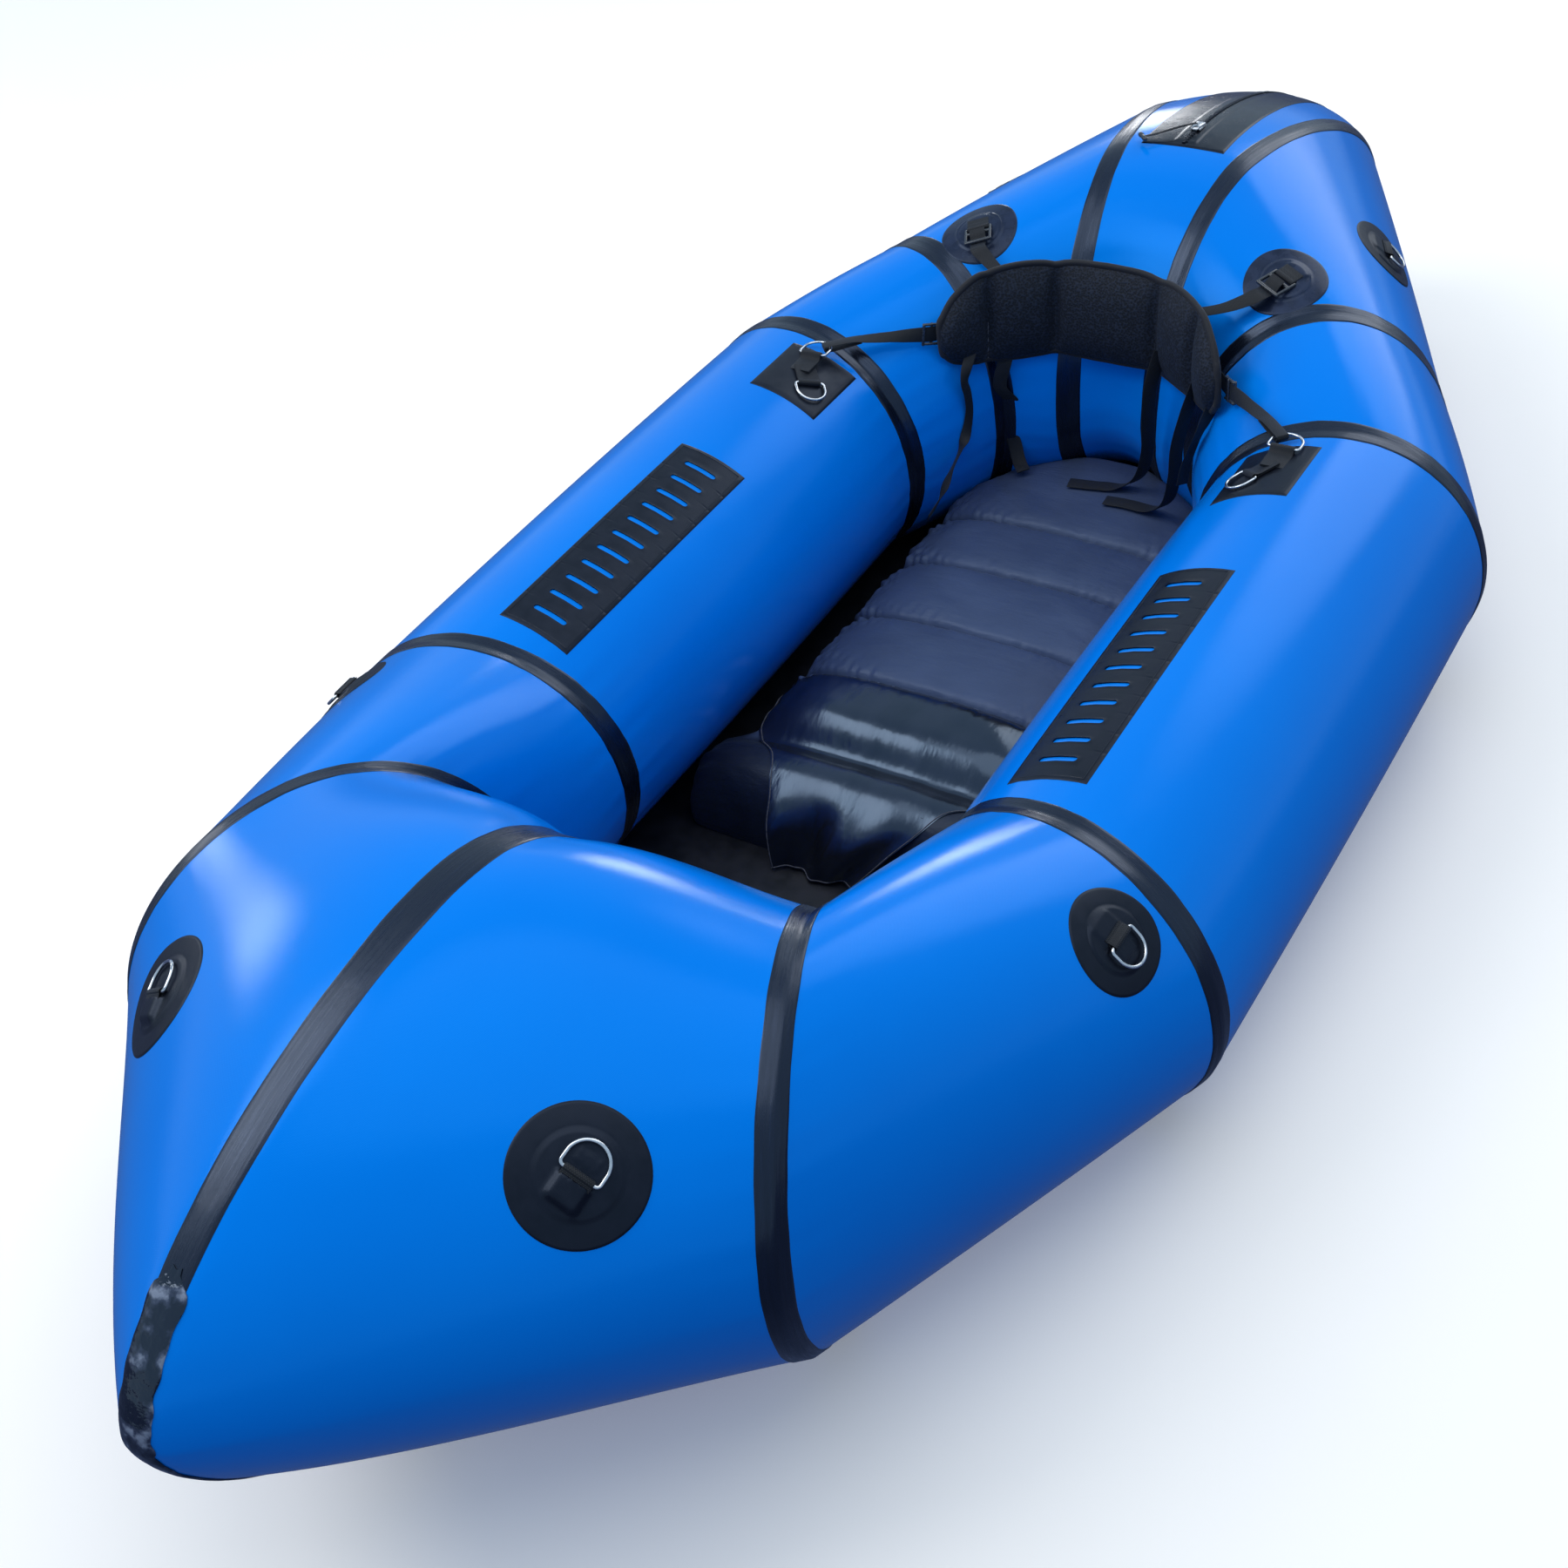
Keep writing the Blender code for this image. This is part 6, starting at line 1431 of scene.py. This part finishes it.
ZIP_PATCH_WIDTH = 0.100
ZIP_START = 0.6665
ZIP_END = 1.030
ZIP_TAPE_HALF_WIDTH = 0.014
ZIP_TAPE_HEIGHT = 0.0007
ZIP_MARGIN = 0.008
TEETH_WIDTH = 0.007
TEETH_HEIGHT = 0.0014
TOOTH_PITCH = 0.0026
TOOTH_WIDTH = 0.0017
TOOTH_HEIGHT = 0.0018
TOOTH_LIFT = 0.0008
SLIDER_START = 0.7135
SLIDER_TRAVEL = 0.200
SLIDER_LENGTH = 0.022
SLIDER_WIDTH = 0.012
SLIDER_HEIGHT = 0.005
LUG_SETBACK = 0.0040
PIVOT_HEIGHT = 0.0018
PULLER_LENGTH = 0.064
TOGGLE_LENGTH = 0.022
TOGGLE_DIAMETER = 0.006
PULL_HEADING_SHARES = (-0.73, -0.68, -0.10)


def crest_height(y):
    """The height of the stern's crest on the middle line."""
    angles = np.arange(60, 175, 0.5)
    points = PANELS["stern"].point(np.full(len(angles), 0.5), angles)
    return float(points[np.argmin(np.abs(points[:, 1] - y)), 2])


def crest_place(y):
    return np.array((0.0, y, crest_height(y)))


def slider_centre():
    """The middle of the circle that the slider follows, through three places on the crest."""
    places = [crest_place(SLIDER_START + SLIDER_TRAVEL * share)[1:] for share in (0, 0.5, 1)]
    (ay, az), (by, bz), (cy, cz) = places
    spread = 2 * (ay * (bz - cz) + by * (cz - az) + cy * (az - bz))
    squares = [place @ place for place in places]
    y = (squares[0] * (bz - cz) + squares[1] * (cz - az) + squares[2] * (az - bz)) / spread
    z = (squares[0] * (cy - by) + squares[1] * (ay - cy) + squares[2] * (by - ay)) / spread
    return np.array((0.0, y, z))


def zip_height(x, y):
    length = (ZIP_END - ZIP_START) / 2
    lift = edge_thin(np.minimum(ZIP_PATCH_WIDTH / 2 - np.abs(x), length - np.abs(y)), PATCH_THICKNESS + GAP)
    inside = np.minimum(ZIP_TAPE_HALF_WIDTH - np.abs(x), length - ZIP_MARGIN - np.abs(y))
    lift = lift + ZIP_TAPE_HEIGHT * smooth(inside / PATCH_EDGE)
    return lift - 0.0005 * bell(x, 0.0012) * (np.abs(y) < length - ZIP_MARGIN)


def build_zip():
    """The patch over the stern's crest, its raised tapes and its two rows of teeth."""
    place = Place("stern", 0.5, 90, FORE_AND_AFT, 1)
    level = frame_of(np.array((0.0, (ZIP_START + ZIP_END) / 2, STERN_HEIGHT)), FORE_AND_AFT, UP)
    flat = rect_flat(ZIP_PATCH_WIDTH / 2, (ZIP_END - ZIP_START) / 2, 60, 120)
    solid = Solid().plate(place, level, *flat, zip_height)
    centre = slider_centre()
    radius = np.linalg.norm(crest_place(SLIDER_START) - centre)
    for tooth in range(int((ZIP_END - ZIP_START - 2 * TEETH_WIDTH) / TOOTH_PITCH)):
        y = ZIP_START + TEETH_WIDTH + tooth * TOOTH_PITCH
        skin = float(place.heights(level, [(0, y - float(level.translation.y))])[0]) + STERN_HEIGHT
        if SLIDER_START - SLIDER_LENGTH < y < SLIDER_START + SLIDER_TRAVEL + SLIDER_LENGTH:
            skin = max(skin, centre[2] + math.sqrt(max(radius ** 2 - (y - centre[1]) ** 2, 0)) - INSET)
        slope = (crest_height(y + 0.01) - crest_height(y - 0.01)) / 0.02
        own = frame_of(np.array((0, y, skin + SKIN_TOP)), np.array((0, 1, slope)), UP)
        side = 1 if tooth % 2 else -1
        root, tip = -0.0006 * side, (TEETH_WIDTH / 2 - 0.0012) * side
        solid.bar(own, (root, 0, TOOTH_LIFT), (tip, 0, TOOTH_LIFT), TOOTH_WIDTH, TOOTH_HEIGHT)
    solid.build("zip_base", "zip_patch", "patch", "hull", "zip_patch")


def slider_shape(own):
    """The slider's body: a rounded upper wing, narrower at its tail, over two jaws."""
    low, teeth = SKIN_TOP + GAP, SKIN_TOP + TEETH_HEIGHT + GAP
    turn, sections = turns(28), []
    for share in np.linspace(0, 1, 26):
        end = float(dome(2 * share - 1, 6, 0.01))
        half = SLIDER_WIDTH / 2 * (0.74 + 0.26 * smooth(share * 1.6)) * (0.55 + 0.45 * end)
        rise = SLIDER_HEIGHT * (0.60 + 0.25 * math.sin(math.pi * share)) * end
        z = teeth + rise / 2 + rise / 2 * squared(np.sin(turn), 0.8)
        y = np.full(28, SLIDER_LENGTH * (share - 0.5))
        sections.append(in_world(own, np.column_stack((half * squared(np.cos(turn), 0.6), y, z))))
    solid = Solid().loft(sections)
    for x in (0.0011 - SLIDER_WIDTH / 2, SLIDER_WIDTH / 2 - 0.0011):
        middle, reach = (low + teeth) / 2 + 0.0004, SLIDER_LENGTH / 2 - 0.003
        solid.bar(own, (x, -reach, middle), (x, reach, middle), 0.0020, teeth - low + 0.0016)
    return solid, teeth + SLIDER_HEIGHT


def build_slider():
    """The slider with the two lugs of its bridge, and the pull: a coated cord with a cross bar at its end."""
    spot = crest_place(SLIDER_START)
    up = unit(spot - slider_centre())
    own = frame_of(spot, FORE_AND_AFT - up * float(FORE_AND_AFT @ up), up)
    solid, top = slider_shape(own)
    turn = own.to_3x3()
    spot = np.array(own @ Vector((0, LUG_SETBACK - SLIDER_LENGTH / 2, top + PIVOT_HEIGHT)))
    pull = frame_of(spot, np.array(turn @ Vector(PULL_HEADING_SHARES)), np.array(turn @ Vector(UP)))
    for x in (-0.0031, 0.0031):
        solid.bar(pull, (x, 0, -0.0026), (x, 0.0001, 0.0009), 0.0016, 0.0030)
    solid.build("zip_runner", "slider", "slider", "zip_slider", "zip_slider")
    shares = np.linspace(0, 1, 40)
    wavy = np.column_stack((0.0006 * np.sin(7 * shares), PULLER_LENGTH * shares, 0.0004 * np.sin(5 * shares)))
    cord = Solid().sweep(in_world(pull, wavy), circle(0.0016, 12, 0.8), axes_of(pull)[2])
    cord.bar(pull, (-0.0030, 0, 0), (0.0030, 0, 0), 0.0012, 0.0012)
    bulb = []
    for share in np.linspace(0, 1, 24):
        narrowed = 1 - 0.12 * math.cos(2 * math.pi * (share - 0.5)) ** 2
        ring = circle(TOGGLE_DIAMETER / 2 * float(dome(2 * share - 1, 8, 0.02)) * narrowed, 18)
        x = np.full(18, TOGGLE_LENGTH * (share - 0.5))
        bulb.append(in_world(pull, np.column_stack((x, PULLER_LENGTH + ring[:, 0], ring[:, 1]))))
    cord.loft(bulb).build("zip_pull", "cord", "puller", "zip_puller", "zip_puller")


# Valve

VALVE_SHARES = (0.5, 165)
VALVE_DIAMETER = 0.046
VALVE_FLANGE_DIAMETER = 0.070
VALVE_FLANGE_EDGE = 0.003
VALVE_HEIGHT = 0.010
CAP_DIAMETER = 0.034
CAP_HEIGHT = 0.012
CAP_RIBS = 24
RIB_DEPTH = 0.0009
# Radius and height as shares of each body's own
VALVE_PROFILE_SHARES = (
    (1, 0.05), (1, 0.42), (0.985, 0.50), (0.93, 0.56), (0.80, 0.86), (0.775, 0.97), (0.74, 1),
)
CAP_PROFILE_SHARES = (
    (0.5, -1 / 3), (0.5, 0), (0.97, 0), (1, 0.05), (1, 0.72), (0.985, 0.84), (0.93, 0.95), (0.86, 1),
    (0.66, 1), (0.62, 0.92), (0.1, 0.90),
)


def valve_flange_height(x, y):
    radius, distance = VALVE_FLANGE_DIAMETER / 2, np.hypot(x, y)
    lift = edge_thin(radius - distance, PATCH_THICKNESS + RAISED_THICKNESS, VALVE_FLANGE_EDGE)
    return lift + 0.0005 * bell(distance - radius * 0.78, 0.0010)


def build_valve():
    place = Place("quarter", *VALVE_SHARES, UP, -1)
    own = place.frame
    base = Solid().plate(place, own, *disc_flat(VALVE_FLANGE_DIAMETER / 2), valve_flange_height)
    base.turned(own, [(r * VALVE_DIAMETER / 2, h * VALVE_HEIGHT) for r, h in VALVE_PROFILE_SHARES])
    base.build("valve_base", "plastic", "plastic", "hull", "valve_body")
    profile = [(r * CAP_DIAMETER / 2, VALVE_HEIGHT + GAP + h * CAP_HEIGHT) for r, h in CAP_PROFILE_SHARES]
    cap = Solid().turned(own, profile, CAP_RIBS, RIB_DEPTH, 144)
    cap.build("valve_lid", "plastic", "plastic", "valve_cap", "valve_cap")


# Stage

STAGE_REACH = 90.0
STAGE_DROP = 0.0006
SKY_STRENGTH = 0.90
SKY = (
    (0.0, (0.060, 0.090, 0.190)),
    (0.485, (0.110, 0.150, 0.290)),
    (0.500, (0.500, 0.630, 0.760)),
    (0.620, (0.440, 0.610, 0.780)),
    (1.0, (0.420, 0.580, 0.760)),
)
WARM = (1.0, 0.985, 0.965)
# Each lamp's place, size, power and colour; they all face the boat's middle
LAMPS = {
    "key": ((-2.4, -1.2, 3.4), 2.6, 62, WARM),
    "back": ((0.6, 4.2, 2.6), 3.0, 46, WARM),
    "top": ((0.4, -0.2, 3.6), 3.4, 40, WARM),
    "low_back": ((-2.5, 5.3, 0.95), 1.1, 20, (1.0, 0.98, 0.97)),
    "low_side": ((-4.8, 0.4, 1.6), 1.0, 12, (1.0, 0.98, 0.97)),
}
LAMP_TARGET = Vector((0, 0, 0.1))


def linked(name, data):
    made = bpy.data.objects.new(name, data)
    bpy.context.scene.collection.objects.link(made)
    return made


def build_floor_stage():
    look = Look("pale_floor", (0.96, 0.90, 0.83), 0.9,
                Emission_Color=(1.0, 0.92, 0.85, 1.0), Emission_Strength=0.14)
    look.colour(look.noise(2.0, 2), (0.3, (0.945, 0.885, 0.815)), (0.7, (0.975, 0.915, 0.845)))
    mesh = bpy.data.meshes.new("stage_floor")
    corners = [(x * STAGE_REACH, y * STAGE_REACH, 0) for x, y in ((-1, -1), (1, -1), (1, 1), (-1, 1))]
    mesh.from_pydata(corners, [], [(0, 1, 2, 3)])
    mesh.materials.append(look.made)
    floor = linked("stage_floor", mesh)
    floor.location.z = -STAGE_DROP
    floor.visible_glossy = False
    floor.visible_diffuse = False


def build_sky():
    scene = bpy.context.scene
    scene.view_settings.view_transform = "Standard"
    scene.world = scene.world or bpy.data.worlds.new("World")
    scene.world.use_nodes = True
    nodes, links = scene.world.node_tree.nodes, scene.world.node_tree.links
    split = nodes.new("ShaderNodeSeparateXYZ")
    links.new(nodes.new("ShaderNodeTexCoord").outputs["Generated"], split.inputs["Vector"])
    level = nodes.new("ShaderNodeMath")
    level.operation = "MULTIPLY_ADD"
    links.new(split.outputs["Z"], level.inputs[0])
    level.inputs[1].default_value = level.inputs[2].default_value = 0.5
    ramp = nodes.new("ShaderNodeValToRGB")
    links.new(level.outputs["Value"], ramp.inputs["Fac"])
    set_stops(ramp, SKY)
    links.new(ramp.outputs["Color"], nodes["Background"].inputs["Color"])
    nodes["Background"].inputs["Strength"].default_value = SKY_STRENGTH


def build_lamps():
    for name, (place, size, power, colour) in LAMPS.items():
        data = bpy.data.lights.new(name, "AREA")
        data.shape = "DISK"
        data.size = size
        data.energy = power
        data.color = colour
        light = linked(name, data)
        light.location = place
        light.visible_camera = False
        light.rotation_mode = "QUATERNION"
        light.rotation_quaternion = (LAMP_TARGET - Vector(place)).to_track_quat("-Z", "Y")


def build_camera():
    data = bpy.data.cameras.new("camera")
    data.lens = CAMERA_LENS
    data.sensor_width = CAMERA_SENSOR
    data.clip_start, data.clip_end = 0.01, 60
    camera = linked("camera", data)
    own = Matrix.Identity(4)
    for row in range(3):
        own[row] = (CAMERA_RIGHT[row], CAMERA_UP[row], CAMERA_BACK[row], CAMERA_PLACE[row])
    camera.matrix_world = own
    bpy.context.scene.camera = camera


build_camera()
build_floor_stage()
build_sky()
build_lamps()
build_hull()
build_tapes()
build_nose_patch()
build_floor()
build_ring_patches()
build_tie_patches()
build_ladders()
build_backrest()
build_straps()
build_strap_patches()
build_flap(build_seat())
build_zip()
build_slider()
build_valve()
